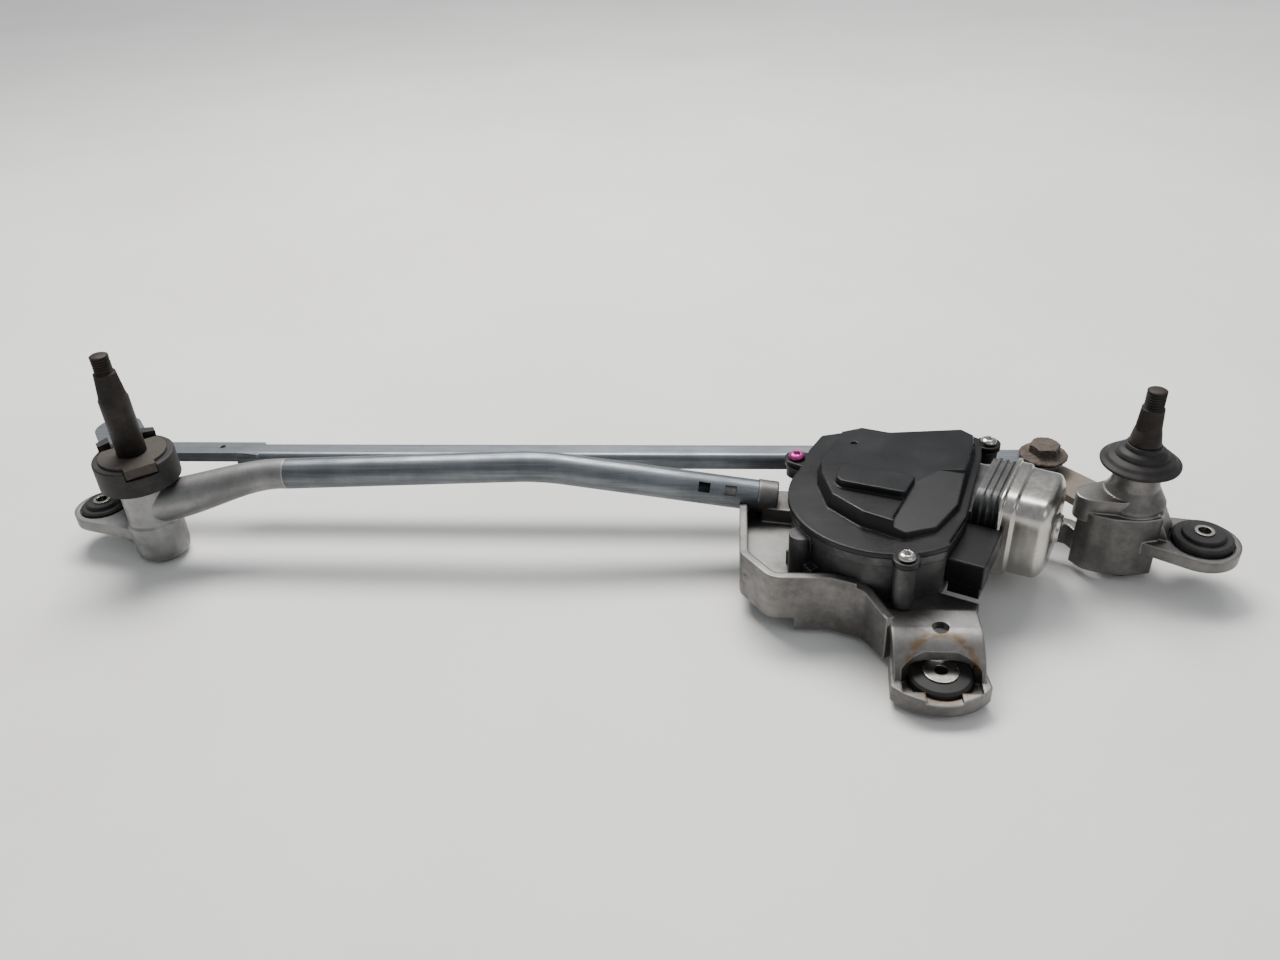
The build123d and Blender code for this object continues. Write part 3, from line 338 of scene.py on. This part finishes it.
@dataclass(frozen=True)
class BrightSteel:
    """Drawn or turned bright steel with faint draw marks and handling haze."""

    name: str
    colour: Colour = (0.52, 0.50, 0.46)
    roughness: float = 0.17
    haze: float = 0.16
    edge_radius: float = 0.0006

    def make(self) -> bpy.types.Material:
        """Build the material.

        Returns:
            The material.
        """
        paint = Paint(self.name)
        haze = paint.noise(45.0, 6.0, 0.62)
        marks = paint.noise(1.0, 4.0, 0.6, paint.stretched((260.0, 260.0, 30.0)))
        _, rounded = paint.edges(self.edge_radius)
        tone = (haze * 0.6 + marks * 0.4).clipped(0.35, 0.68)
        dull = tuple(0.68 * c for c in self.colour)
        colour = paint.mix(tone, dull, self.colour)
        rough = self.roughness + haze * self.haze + (marks - 0.5) * 0.08
        normal = paint.bump(marks, 0.00003, rounded)
        return paint.finish(Base_Color=colour, Metallic=1.0, Roughness=rough, Normal=normal)


@dataclass(frozen=True)
class Oxide:
    """Steel left black-brown by oxide and handling, rubbed a little on its edges."""

    name: str
    dark: Colour = (0.010, 0.009, 0.008)
    brown: Colour = (0.030, 0.022, 0.017)

    def make(self) -> bpy.types.Material:
        """Build the material.

        Returns:
            The material.
        """
        paint = Paint(self.name)
        cloud = paint.noise(90.0, 6.0, 0.65)
        grain = paint.noise(1600.0, 3.0, 0.7)
        edge, rounded = paint.edges(0.0004)
        colour = paint.mix(cloud.clipped(0.35, 0.7), self.dark, self.brown)
        colour = paint.mix(edge * 0.3, colour, (0.07, 0.062, 0.055))
        rough = 0.48 + grain * 0.22
        normal = paint.bump(grain + cloud * 0.6, 0.00006, rounded)
        return paint.finish(
            Base_Color=colour, Metallic=0.3, Roughness=rough, Normal=normal, Specular_IOR_Level=0.35
        )


@dataclass(frozen=True)
class Rust:
    """Rusted steel: crusty brown over a greyer skin."""

    name: str
    base: Colour = (0.20, 0.17, 0.14)
    crust: Colour = (0.10, 0.062, 0.035)
    bloom: Colour = (0.26, 0.20, 0.16)
    depth: float = 0.00025
    share: float = 0.45

    def make(self) -> bpy.types.Material:
        """Build the material.

        Returns:
            The material.
        """
        paint = Paint(self.name)
        patches = paint.noise(160.0, 7.0, 0.7)
        grit = paint.noise(900.0, 5.0, 0.75)
        _, rounded = paint.edges(0.0006)
        mask = (patches * 0.65 + grit * 0.35).clipped(self.share, self.share + 0.16)
        colour = paint.mix(mask, self.base, self.crust)
        colour = paint.mix(paint.noise(320.0, 5.0).clipped(0.5, 0.75) * 0.7, colour, self.bloom)
        rough = 0.62 + grit * 0.3
        normal = paint.bump(grit * 0.6 + patches * 0.6, self.depth, rounded)
        return paint.finish(Base_Color=colour, Metallic=0.25, Roughness=rough, Normal=normal)


@dataclass(frozen=True)
class Rubber:
    """Moulded rubber with a grey bloom of dust in patches and along its edges."""

    name: str
    colour: Colour = (0.011, 0.010, 0.010)
    dust: Colour = (0.040, 0.037, 0.034)
    dusty: float = 0.6
    roughness: float = 0.56

    def make(self) -> bpy.types.Material:
        """Build the material.

        Returns:
            The material.
        """
        paint = Paint(self.name)
        bloom = paint.noise(120.0, 6.0, 0.65)
        grain = paint.noise(1500.0, 3.0, 0.7)
        edge, rounded = paint.edges(0.0006)
        dusted = bloom.clipped(0.42, 0.72) * self.dusty + edge * 0.18
        colour = paint.mix(dusted, self.colour, self.dust)
        rough = self.roughness + dusted * 0.2 + (grain - 0.5) * 0.1
        normal = paint.bump(grain + bloom, 0.00005, rounded)
        return paint.finish(Base_Color=colour, Roughness=rough, Normal=normal, Specular_IOR_Level=0.3)


@dataclass(frozen=True)
class Moulding:
    """Moulded plastic: fine spark-eroded grain, faint scuffs, soft edges."""

    name: str
    colour: Colour = (0.0055, 0.0055, 0.006)
    scuff: Colour = (0.022, 0.022, 0.023)
    roughness: float = 0.30
    grain: float = 2200.0
    grain_depth: float = 0.00003
    edge_radius: float = 0.0015

    def make(self) -> bpy.types.Material:
        """Build the material.

        Returns:
            The material.
        """
        paint = Paint(self.name)
        grain = paint.noise(self.grain, 2.0, 0.6)
        smears = paint.noise(40.0, 6.0, 0.6)
        fine = paint.noise(1.0, 3.0, 0.7, paint.stretched((60.0, 900.0, 300.0), 0.7))
        edge, rounded = paint.edges(self.edge_radius)
        scuffed = (fine.clipped(0.60, 0.72) * 0.35 + smears.clipped(0.52, 0.75) * 0.25) + edge * 0.35
        colour = paint.mix(scuffed, self.colour, self.scuff)
        rough = self.roughness + (smears - 0.5) * 0.16 + (grain - 0.5) * 0.08
        normal = paint.bump(grain, self.grain_depth, rounded)
        return paint.finish(Base_Color=colour, Roughness=rough, Normal=normal, Specular_IOR_Level=0.26)


@dataclass(frozen=True)
class Floor:
    """The pale matt sheet that the assembly rests on."""

    name: str = "pale_floor"

    def make(self) -> bpy.types.Material:
        """Build the material.

        Returns:
            The material.
        """
        paint = Paint(self.name)
        cloud = paint.noise(3.0, 5.0, 0.6)
        specks = paint.noise(420.0, 3.0, 0.7)
        colour = paint.mix(cloud.clipped(0.3, 0.7), (0.70, 0.69, 0.665), (0.76, 0.75, 0.73))
        normal = paint.bump(specks, 0.0001)
        return paint.finish(Base_Color=colour, Roughness=0.62, Normal=normal)


# ---- surfaces -----------------------------------------------------------------


def surface(name: str, points: np.ndarray, around: bool) -> bpy.types.Object:
    """Make a mesh from a grid of points.

    Rows run along the first axis and columns along the second; each cell of the grid is one
    quad. Where the first or the last row is a single repeated point the shape closes there.

    Args:
        name: the object's name.
        points: (rows, columns, 3) places in metres.
        around: whether the last column meets the first.

    Returns:
        The object, at the origin.
    """
    rows, columns, _ = points.shape
    index = np.arange(rows * columns).reshape(rows, columns)
    right = np.roll(index, -1, axis=1) if around else index[:, 1:]
    left = index if around else index[:, :-1]
    quads = np.stack([left[:-1], right[:-1], right[1:], left[1:]], axis=-1).reshape(-1, 4)
    mesh = bpy.data.meshes.new(name)
    mesh.from_pydata(points.reshape(-1, 3), [], quads)
    return settled(name, mesh)


def settled(name: str, mesh: bpy.types.Mesh) -> bpy.types.Object:
    """Close the seams and poles of a mesh, turn its faces outward, shade it smooth and link it.

    Args:
        name: the object's name.
        mesh: the mesh as made from its grid.

    Returns:
        The object, at the origin.
    """
    work = bmesh.new()
    work.from_mesh(mesh)
    bmesh.ops.remove_doubles(work, verts=work.verts, dist=SEAM_GAP)
    bmesh.ops.dissolve_degenerate(work, edges=work.edges, dist=SLIVER)
    bmesh.ops.recalc_face_normals(work, faces=work.faces)
    work.to_mesh(mesh)
    work.free()
    mesh.polygons.foreach_set("use_smooth", np.ones(len(mesh.polygons), bool))
    mesh.update()
    made = bpy.data.objects.new(name, mesh)
    bpy.context.scene.collection.objects.link(made)
    return made


def softened(profile: Sequence[tuple[float, float]], steps: int = 4, share: float = 0.22) -> np.ndarray:
    """Round the corners of a profile.

    Each corner is swapped for a short parabola that starts and ends the given share of the
    neighbouring runs away from it, and at most CORNER_LIMIT_MM.

    Args:
        profile: (radius, height) corners in millimetres.
        steps: points per corner.
        share: how much of each run a corner may take.

    Returns:
        (count, 2) points in metres.
    """
    corners = np.asarray(profile, float)
    before, after = corners[:-2] - corners[1:-1], corners[2:] - corners[1:-1]
    reach = [np.linalg.norm(run, axis=1, keepdims=True) for run in (before, after)]
    near = corners[1:-1] + before / reach[0] * np.minimum(reach[0] * share, CORNER_LIMIT_MM)
    far = corners[1:-1] + after / reach[1] * np.minimum(reach[1] * share, CORNER_LIMIT_MM)
    t = np.linspace(0.0, 1.0, steps)[None, :, None]
    curve = near[:, None] * (1 - t) ** 2 + corners[1:-1][:, None] * 2 * t * (1 - t) + far[:, None] * t**2
    return np.concatenate([corners[:1], curve.reshape(-1, 2), corners[-1:]]) * MM


def turned(
    name: str,
    centre: tuple[float, float],
    profile: np.ndarray,
    columns: int = 96,
    relief: Callable[[np.ndarray, np.ndarray, np.ndarray], np.ndarray] | None = None,
) -> bpy.types.Object:
    """Turn a profile about an upright axis.

    The point at row i and angle a lies at radius r_i plus the relief there, along (cos a,
    sin a), at height z_i. Profiles that start and end on the axis give a closed shape.

    Args:
        name: the object's name.
        centre: the axis in x and y, metres.
        profile: (count, 2) radius and height in metres.
        columns: points around.
        relief: extra radius from radius, height and angle.

    Returns:
        The object.
    """
    angle = np.linspace(0.0, 2.0 * math.pi, columns, endpoint=False)[None, :]
    radius, height = profile[:, :1], profile[:, 1:]
    spread = radius + (relief(radius, height, angle) if relief else 0.0 * angle)
    points = np.stack(
        [centre[0] + spread * np.cos(angle), centre[1] + spread * np.sin(angle), height + 0.0 * angle],
        axis=-1,
    )
    return surface(name, points, around=True)


# ---- sub-assemblies -------------------------------------------------------------


def placed(
    piece: bpy.types.Object, material: bpy.types.Material, body: str, node: str
) -> bpy.types.Object:
    """Dress a new piece and put it in the place of a CAD node.

    Args:
        piece: the new piece.
        material: its finish.
        body: the body that it moves with.
        node: the CAD node that it stands for.

    Returns:
        The piece.
    """
    piece.data.materials.append(material)
    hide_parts(node)
    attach(piece, body)
    return piece


@dataclass(frozen=True)
class Spindle:
    """A wiper spindle: plain shank, knurled cone and threaded end."""

    node: str
    body: str
    centre: tuple[float, float]
    shank: tuple[tuple[float, float], ...]
    cone: tuple[float, float]
    thread: tuple[float, float]
    tip_radius: float = 5.0
    pitch: float = 1.5
    splines: int = 60
    thread_depth: float = 0.00085
    thread_fade: float = 0.0008
    thread_row: float = 0.00012
    knurl_depth: float = 0.00022
    knurl_fade: float = 0.0006

    def relief(self, radius: np.ndarray, height: np.ndarray, angle: np.ndarray) -> np.ndarray:
        """Return the thread and the knurl.

        The thread is a triangle wave in turns along the helix, cut below the crest and faded in
        over its first and last turns. The knurl is a cosine in the angle, over the cone only.

        Args:
            radius: the radius at each point, which neither depends on.
            height: the height at each point.
            angle: the angle at each point.

        Returns:
            The change in radius.
        """
        turns = height / (self.pitch * MM) - angle / (2.0 * math.pi)
        saw = np.abs(2.0 * (turns - np.floor(turns)) - 1.0)
        low, high = (value * MM for value in self.thread)
        fade = self.thread_fade
        inside = np.clip((height - low) / fade, 0, 1) * np.clip((high - height) / fade, 0, 1)
        cut = -self.thread_depth * np.clip(saw * 1.25 - 0.12, 0, 1) * inside
        low, high = (value * MM for value in self.cone)
        fade = self.knurl_fade
        band = np.clip((height - low) / fade, 0, 1) * np.clip((high - height) / fade, 0, 1)
        return cut - self.knurl_depth * (0.5 + 0.5 * np.cos(angle * self.splines)) * band

    def build(self, material: bpy.types.Material) -> bpy.types.Object:
        """Turn the spindle and put it in the place of its CAD node.

        Args:
            material: its finish.

        Returns:
            The piece.
        """
        shank = np.asarray(self.shank) * MM
        low, high = self.thread[0] * MM, self.thread[1] * MM
        rows = np.arange(low, high, self.thread_row)[:, None]
        threaded = np.hstack([np.full_like(rows, self.tip_radius * MM), rows])
        tip = np.array([[self.tip_radius - 0.9, self.thread[1] + 0.5], [0.0, self.thread[1] + 0.5]]) * MM
        cone_rows = np.linspace(0.0, 1.0, 20)[:, None]
        cone = shank[-2] * (1 - cone_rows) + shank[-1] * cone_rows
        start = np.array([[0.0, shank[0, 1]]])
        profile = np.concatenate([start, shank[:-2], cone, threaded, tip])
        piece = turned(f"{self.node}_turned", self.centre, profile, 300, self.relief)
        return placed(piece, material, self.body, self.node)


@dataclass(frozen=True)
class RubberTurning:
    """A round rubber moulding, with ribs and rims from its profile."""

    node: str
    body: str
    centre: tuple[float, float]
    profile: tuple[tuple[float, float], ...]
    wobble: float = 0.00012

    def relief(self, radius: np.ndarray, height: np.ndarray, angle: np.ndarray) -> np.ndarray:
        """Return a slight unevenness: slow waves around that drift with height."""
        return self.wobble * (np.sin(3 * angle + height * 400) + 0.6 * np.sin(7 * angle - height * 900))

    def build(self, material: bpy.types.Material) -> bpy.types.Object:
        """Turn the moulding and put it in the place of its CAD node.

        Args:
            material: its finish.

        Returns:
            The piece.
        """
        closed = list(self.profile) + [self.profile[0]]
        piece = turned(f"{self.node}_moulded", self.centre, softened(closed), 128, self.relief)
        return placed(piece, material, self.body, self.node)


@dataclass(frozen=True)
class MotorCan:
    """The drawn motor can: a rounded square shell with a step, a rolled flange and an end boss."""

    origin: tuple[float, float] = (0.1446, 0.0124)
    heading: float = -25.0
    across: float = 37.4
    height: float = 39.5
    wall: float = 1.3
    squareness: float = 5.2
    hollow: float = 0.075

    def section(self, half: np.ndarray, power: np.ndarray, angle: np.ndarray) -> np.ndarray:
        """Work out the radius of a superellipse: half over the power-norm of (cos a, sin a).

        Args:
            half: half the width of the section.
            power: 2 for a round section, more for a squarer one.
            angle: the angle at each point.

        Returns:
            The radius.
        """
        size = (np.abs(np.cos(angle)) ** power + np.abs(np.sin(angle)) ** power) ** (1.0 / power)
        return half / size

    def stations(self) -> np.ndarray:
        """Lay out the outside of the can.

        Each corner of the rough outline is swapped for a parabola that starts and ends within
        its own limit of the corner.

        Returns:
            (count, 3) station, half width and squareness, in millimetres.
        """
        square = self.squareness
        rough = (
            (56.0, 26.5, square), (57.6, 26.5, square), (58.2, 25.2, square), (63.4, 25.2, square),
            (64.6, 23.8, square), (79.0, 23.7, square), (83.0, 19.6, 3.4), (83.0, 8.4, 2.0), (85.5, 7.5, 2.0),
            (85.5, 0.0, 2.0),
        )
        marks = np.asarray(rough, float)
        before, after = marks[:-2] - marks[1:-1], marks[2:] - marks[1:-1]
        reach = [np.linalg.norm(run[:, :2], axis=1, keepdims=True) for run in (before, after)]
        limit = np.array([0.5, 0.5, 0.6, 0.6, 2.0, 2.6, 1.0, 0.7])[:, None]
        near = marks[1:-1] + before / reach[0] * np.minimum(reach[0] * 0.45, limit)
        far = marks[1:-1] + after / reach[1] * np.minimum(reach[1] * 0.45, limit)
        t = np.linspace(0.0, 1.0, 6)[None, :, None]
        curve = near[:, None] * (1 - t) ** 2 + marks[1:-1][:, None] * 2 * t * (1 - t) + far[:, None] * t**2
        return np.concatenate([marks[:1], curve.reshape(-1, 3), marks[-1:]])

    def build(self, material: bpy.types.Material) -> bpy.types.Object:
        """Loft the can: the outside to the boss, then the inside back to the mouth.

        Args:
            material: its finish.

        Returns:
            The piece.
        """
        outside = self.stations()
        inside = outside[::-1].copy()
        inside[:, 0] -= self.wall * (inside[:, 0] > 57)
        inside[:, 1] = np.maximum(inside[:, 1] - self.wall, 0.0)
        path = np.concatenate([outside, inside, outside[:1]])
        angle = np.linspace(0.0, 2.0 * math.pi, 160, endpoint=False)[None, :]
        radius = self.section(path[:, 1:2], path[:, 2:], angle)
        station = path[:, :1] + 0.0 * angle
        body = np.clip((station - 66) / 2, 0, 1) * np.clip((80 - station) / 2, 0, 1)
        radius = radius - self.hollow * body * np.cos(4 * angle) ** 2
        turn = math.radians(self.heading)
        side, rise = self.across + radius * np.cos(angle), self.height + radius * np.sin(angle)
        points = np.stack(
            [
                self.origin[0] + (station * math.cos(turn) - side * math.sin(turn)) * MM,
                self.origin[1] + (station * math.sin(turn) + side * math.cos(turn)) * MM,
                rise * MM,
            ],
            axis=-1,
        )
        piece = surface("motor_can_drawn", points, around=True)
        return placed(piece, material, "frame", "motor_can")


@dataclass(frozen=True)
class LobedScrew:
    """A pan-head screw with a six-lobed recess."""

    name: str
    centre: tuple[float, float]
    seat: float = 58.0
    head_radius: float = 4.6
    head_height: float = 3.2
    rim_height: float = 1.1
    recess_depth: float = 1.9
    lobe_radius: float = 1.95
    shank_end: float = 46.0

    def relief(self, radius: np.ndarray, height: np.ndarray, angle: np.ndarray) -> np.ndarray:
        """Return the lobes: a six-fold wave on the walls of the recess."""
        wall = (radius < 0.0026) * (radius > 0.0009) * (height > (self.seat + 0.5) * MM)
        return wall * 0.00030 * np.cos(6 * angle)

    def build(self, material: bpy.types.Material) -> bpy.types.Object:
        """Turn one screw, in the place of the CAD node that holds them all.

        Args:
            material: its finish.

        Returns:
            The piece.
        """
        low, top = self.seat, self.seat + self.head_height
        rim = self.rim_height
        sweep = np.linspace(0.0, 1.0, 10) * 1.1
        spread = self.head_radius * np.cos(sweep) ** 0.8
        rise = np.minimum(low + rim + (self.head_height - rim) * np.sin(sweep) / 0.9, top)
        dome = [(r, z) for r, z in zip(spread, rise) if r > self.lobe_radius + 0.3]
        lobe = self.lobe_radius
        end, floor = self.shank_end, top - self.recess_depth
        profile = [(0, end), (1.8, end), (2.0, end + 0.4), (2.0, low), (self.head_radius, low), *dome]
        profile += [(lobe + 0.25, top), (lobe, top - 0.2), (lobe, floor)]
        profile += [(1.0, floor - 0.4), (0.0, floor - 0.5)]
        piece = turned(self.name, self.centre, np.asarray(profile, float) * MM, 96, self.relief)
        return placed(piece, material, "frame", "cover_screws")


@dataclass(frozen=True)
class RustyPin:
    """The rusted pivot pin: shank, broad washer and six-sided head."""

    centre: tuple[float, float] = (0.2446, 0.0801)
    flats: float = 8.8
    head_low: float = 45.0
    head_top: float = 50.0
    crust_depth: float = 0.00009
    crust_low: float = 0.0425

    def relief(self, radius: np.ndarray, height: np.ndarray, angle: np.ndarray) -> np.ndarray:
        """Return the flats of the head and the crust.

        Over the head the radius follows a hexagon, cos 30 over the cosine of the angle from the
        nearest flat's middle, and no more than the chamfer allows; everywhere above the rod a
        sum of sines in angle, height and radius makes an uneven crust.

        Args:
            radius: the radius at each point.
            height: the height at each point.
            angle: the angle at each point.

        Returns:
            The change in radius.
        """
        part = np.mod(angle, math.pi / 3.0) - math.pi / 6.0
        hexagon = math.cos(math.pi / 6.0) / np.cos(part)
        head = (height > (self.head_low + 0.05) * MM) * (radius > 0.003)
        limit = np.minimum(radius, self.flats * MM * hexagon) - radius
        crust = np.sin(9 * angle + 2100 * height) + np.sin(17 * angle - 3300 * height + 1.3)
        crust = crust + np.sin(31 * angle + 900 * radius) + np.sin(5 * angle + 1500 * radius)
        above = height > self.crust_low
        return head * limit + above * self.crust_depth * crust * (radius > 0.001)

    def build(self, material: bpy.types.Material) -> bpy.types.Object:
        """Turn the pin and put it in the place of its CAD node.

        Args:
            material: its finish.

        Returns:
            The piece.
        """
        profile = [
            (0, 32.3), (4.0, 32.3), (4.0, 34.5), (5.0, 34.5), (5.0, 42.0),
            (13.3, 42.3), (13.6, 42.8), (13.2, 43.5), (9.9, 44.4), (9.0, 45.0),
        ]
        head = [(8.8, z) for z in np.linspace(self.head_low + 0.1, self.head_top - 0.9, 6)]
        top = self.head_top
        crown = [(8.1, top - 0.25), (7.2, top), (5.0, top), (2.5, top)]
        fine = self.refined(np.asarray(profile + head + crown + [(0.0, self.head_top)], float)) * MM
        piece = turned("right_rod_pin_rusted", self.centre, fine, 180, self.relief)
        return placed(piece, material, "right_pivot", "right_rod_pin")

    def refined(self, profile: np.ndarray) -> np.ndarray:
        """Return the profile with six points to each run."""
        t = np.linspace(0.0, 1.0, 6, endpoint=False)[None, :, None]
        runs = profile[:-1, None] * (1 - t) + profile[1:, None] * t
        return np.concatenate([runs.reshape(-1, 2), profile[-1:]])


# ---- camera, floor and light ---------------------------------------------------


@dataclass(frozen=True)
class Studio:
    """Camera, floor and soft light."""

    eye: tuple[float, float, float] = (0.0638, -0.4659, 0.380)
    heading: float = 5.79
    down: float = 33.0
    roll: float = 2.87
    lens: float = 30.18
    floor_half: float = 4.0

    def camera(self) -> bpy.types.Object:
        """Place the camera: it looks along its heading, tilted down and rolled a little.

        Returns:
            The camera.
        """
        turn, tilt, roll = (math.radians(value) for value in (self.heading, self.down, self.roll))
        level = Vector((math.cos(turn), math.sin(turn), 0.0))
        ahead = Vector((-math.sin(turn) * math.cos(tilt), math.cos(turn) * math.cos(tilt), -math.sin(tilt)))
        above = level.cross(ahead)
        right = level * math.cos(roll) - above * math.sin(roll)
        up = level * math.sin(roll) + above * math.cos(roll)
        data = bpy.data.cameras.new("camera")
        data.lens = self.lens
        data.sensor_width = 36.0
        data.clip_start = 0.01
        data.clip_end = 50.0
        made = bpy.data.objects.new("camera", data)
        made.matrix_world = Matrix(
            [(*pair, place) for pair, place in zip(zip(right, up, -ahead), self.eye)]
            + [(0.0, 0.0, 0.0, 1.0)]
        )
        bpy.context.scene.collection.objects.link(made)
        bpy.context.scene.camera = made
        return made

    def floor(self) -> bpy.types.Object:
        """Lay the floor just under the lowest point of the assembly.

        Returns:
            The floor.
        """
        half, low = self.floor_half, -0.00005
        side = np.linspace(-half, half, 9)
        across, along = np.meshgrid(side, side, indexing="ij")
        floor = surface("floor", np.stack([across, along, np.full_like(across, low)], axis=-1), around=False)
        floor.data.materials.append(Floor().make())
        return floor

    def lights(self) -> None:
        """Hang a soft key, a wide fill and a high back panel, with a pale sky."""
        panels = (
            ("key", (-0.25, 0.75, 1.35), (1.0, 0.6), 34.0, (1.0, 0.985, 0.96)),
            ("fill", (1.0, -1.0, 1.2), (1.2, 1.0), 5.0, (0.96, 0.98, 1.0)),
            ("back", (0.3, 2.2, 3.4), (3.0, 1.0), 90.0, (1.0, 1.0, 1.0)),
        )
        for name, place, size, power, colour in panels:
            data = bpy.data.lights.new(name, "AREA")
            data.shape = "RECTANGLE"
            data.size, data.size_y = size
            data.energy = power
            data.color = colour
            made = bpy.data.objects.new(name, data)
            aim = Vector((0.0, 0.0, 0.03)) - Vector(place)
            made.matrix_world = Matrix.Translation(place) @ aim.to_track_quat("-Z", "Y").to_matrix().to_4x4()
            bpy.context.scene.collection.objects.link(made)
        world = bpy.data.worlds.new("soft_sky")
        world.use_nodes = True
        sky = world.node_tree.nodes["Background"]
        sky.inputs[0].default_value = (0.92, 0.95, 1.0, 1.0)
        sky.inputs[1].default_value = 0.48
        bpy.context.scene.world = world

    def build(self) -> None:
        """Set the whole stage."""
        self.camera()
        self.floor()
        self.lights()


# ---- the drive --------------------------------------------------------------------

FINISHES: dict[str, Any] = {
    "cast_pale": CastAlloy(
        "cast_pale", (0.26, 0.26, 0.255), (0.17, 0.17, 0.166), roughness=0.42, edge_radius=0.0018
    ),
    "cast_grey": CastAlloy(
        "cast_grey", (0.195, 0.187, 0.178), (0.10, 0.096, 0.092), roughness=0.36, edge_radius=0.0016,
        stain_at=(0.1651, -0.0736, 0.016), stain_radius=0.0165,
    ),
    "cast_dark": CastAlloy("cast_dark", (0.105, 0.105, 0.105), (0.05, 0.05, 0.05), roughness=0.40),
    "zinc_steel": PlatedSteel("zinc_steel"),
    "bright_steel": BrightSteel("bright_steel"),
    "tan_steel": Rust(
        "tan_steel", (0.17, 0.145, 0.115), (0.10, 0.078, 0.055), (0.21, 0.18, 0.145), depth=0.0001, share=0.55
    ),
    "plate_steel": Rust(
        "plate_steel", (0.050, 0.042, 0.034), (0.028, 0.021, 0.016), (0.075, 0.062, 0.050),
        depth=0.0001, share=0.5,
    ),
    "rusty_steel": Rust("rusty_steel", (0.085, 0.068, 0.055), (0.040, 0.026, 0.017), (0.15, 0.115, 0.095)),
    "black_oxide": Oxide("black_oxide"),
    "rubber": Rubber("rubber"),
    "black_plastic": Moulding("black_plastic"),
    "marked_screw": BrightSteel("marked_screw", (0.48, 0.07, 0.27), 0.36),
    "bronze": BrightSteel("bronze", (0.42, 0.27, 0.12), 0.34),
    "copper": BrightSteel("copper", (0.72, 0.36, 0.20), 0.28),
    "ivory_nylon": Moulding("ivory_nylon", (0.62, 0.57, 0.44), (0.70, 0.66, 0.55), 0.42),
    "green_board": Moulding("green_board", (0.02, 0.13, 0.05), (0.05, 0.22, 0.10), 0.40),
    "brown_plastic": Moulding("brown_plastic", (0.10, 0.05, 0.02), (0.16, 0.09, 0.04), 0.45),
    "ferrite": Rubber("ferrite", (0.035, 0.034, 0.034), (0.07, 0.068, 0.066), 0.4, 0.62),
    "carbon": Rubber("carbon", (0.02, 0.02, 0.021), (0.05, 0.05, 0.05), 0.3, 0.5),
}

OWN_FINISH = {"left_lock_plate": "plate_steel"}

RIGHT = (0.2798, 0.0334)
LEFT = (-0.2776, 0.0334)

RIGHT_SPINDLE = Spindle(
    "right_shaft", "right_pivot", RIGHT,
    ((6.4, 1.5), (7.0, 2.1), (7.0, 79.0), (8.2, 79.3), (8.1, 80.2), (6.9, 87.0), (6.6, 87.3), (5.7, 100.0)),
    (87.5, 99.6), (100.0, 110.0),
)
LEFT_SPINDLE = Spindle(
    "left_shaft", "left_pivot", LEFT,
    ((6.4, 6.0), (7.0, 6.6), (7.0, 72.2), (8.1, 72.2), (8.1, 106.5), (7.5, 107.6), (5.9, 122.4)),
    (107.9, 122.0), (122.4, 132.5),
)
RIGHT_BOOT = RubberTurning(
    "right_boot", "right_pivot", RIGHT,
    (
        (7.05, 70), (7.05, 79), (8.8, 79), (9.4, 77.6), (9.4, 76.4), (12.2, 75.2), (13.4, 73.4), (13.4, 72.4),
        (16.8, 71.2), (18, 69.6), (20.4, 68.2), (20.4, 66.9), (18.5, 66.2), (13.2, 64.8), (12.9, 63.5),
        (12.4, 63.5), (12.4, 66.6), (10.5, 69),
    ),
)


@dataclass
class Drive:
    """The whole wiper drive: finishes on every CAD node, then the smooth pieces."""

    paints: dict[str, bpy.types.Material] = field(default_factory=dict)

    def dress(self) -> None:
        """Give every CAD node the finish that its slot in the record names."""
        slots = {part["node"]: part["material_slot"] for part in frame["record"]["subparts"]}
        for node, piece in frame["nodes"].items():
            slot = OWN_FINISH.get(node, slots[node])
            if slot not in self.paints:
                self.paints[slot] = FINISHES[slot].make()
            for socket in piece.material_slots:
                socket.material = self.paints[slot]
        LOG.info("dressed %d nodes in %d finishes", len(frame["nodes"]), len(self.paints))

    def build(self) -> None:
        """Add the smooth pieces."""
        marked = FINISHES["marked_screw"].make()
        self.paints["marked_screw"] = marked
        for part, finish in (
            (RIGHT_SPINDLE, "black_oxide"),
            (LEFT_SPINDLE, "black_oxide"),
            (RIGHT_BOOT, "rubber"),
            (MotorCan(), "bright_steel"),
            (LobedScrew("cover_screw_left", (0.1006, 0.0514)), "marked_screw"),
            (LobedScrew("cover_screw_front", (0.1493, -0.0409)), "bright_steel"),
            (LobedScrew("cover_screw_right", (0.2090, 0.0677)), "bright_steel"),
            (RustyPin(), "rusty_steel"),
        ):
            piece = part.build(self.paints[finish])
            LOG.info("%s: %d faces", piece.name, len(piece.data.polygons))


def main() -> None:
    """Dress the drive, add its smooth pieces and set the stage."""
    drive = Drive()
    drive.dress()
    drive.build()
    Studio().build()


if __name__ == "__main__":
    logging.basicConfig(level=logging.INFO)
    main()
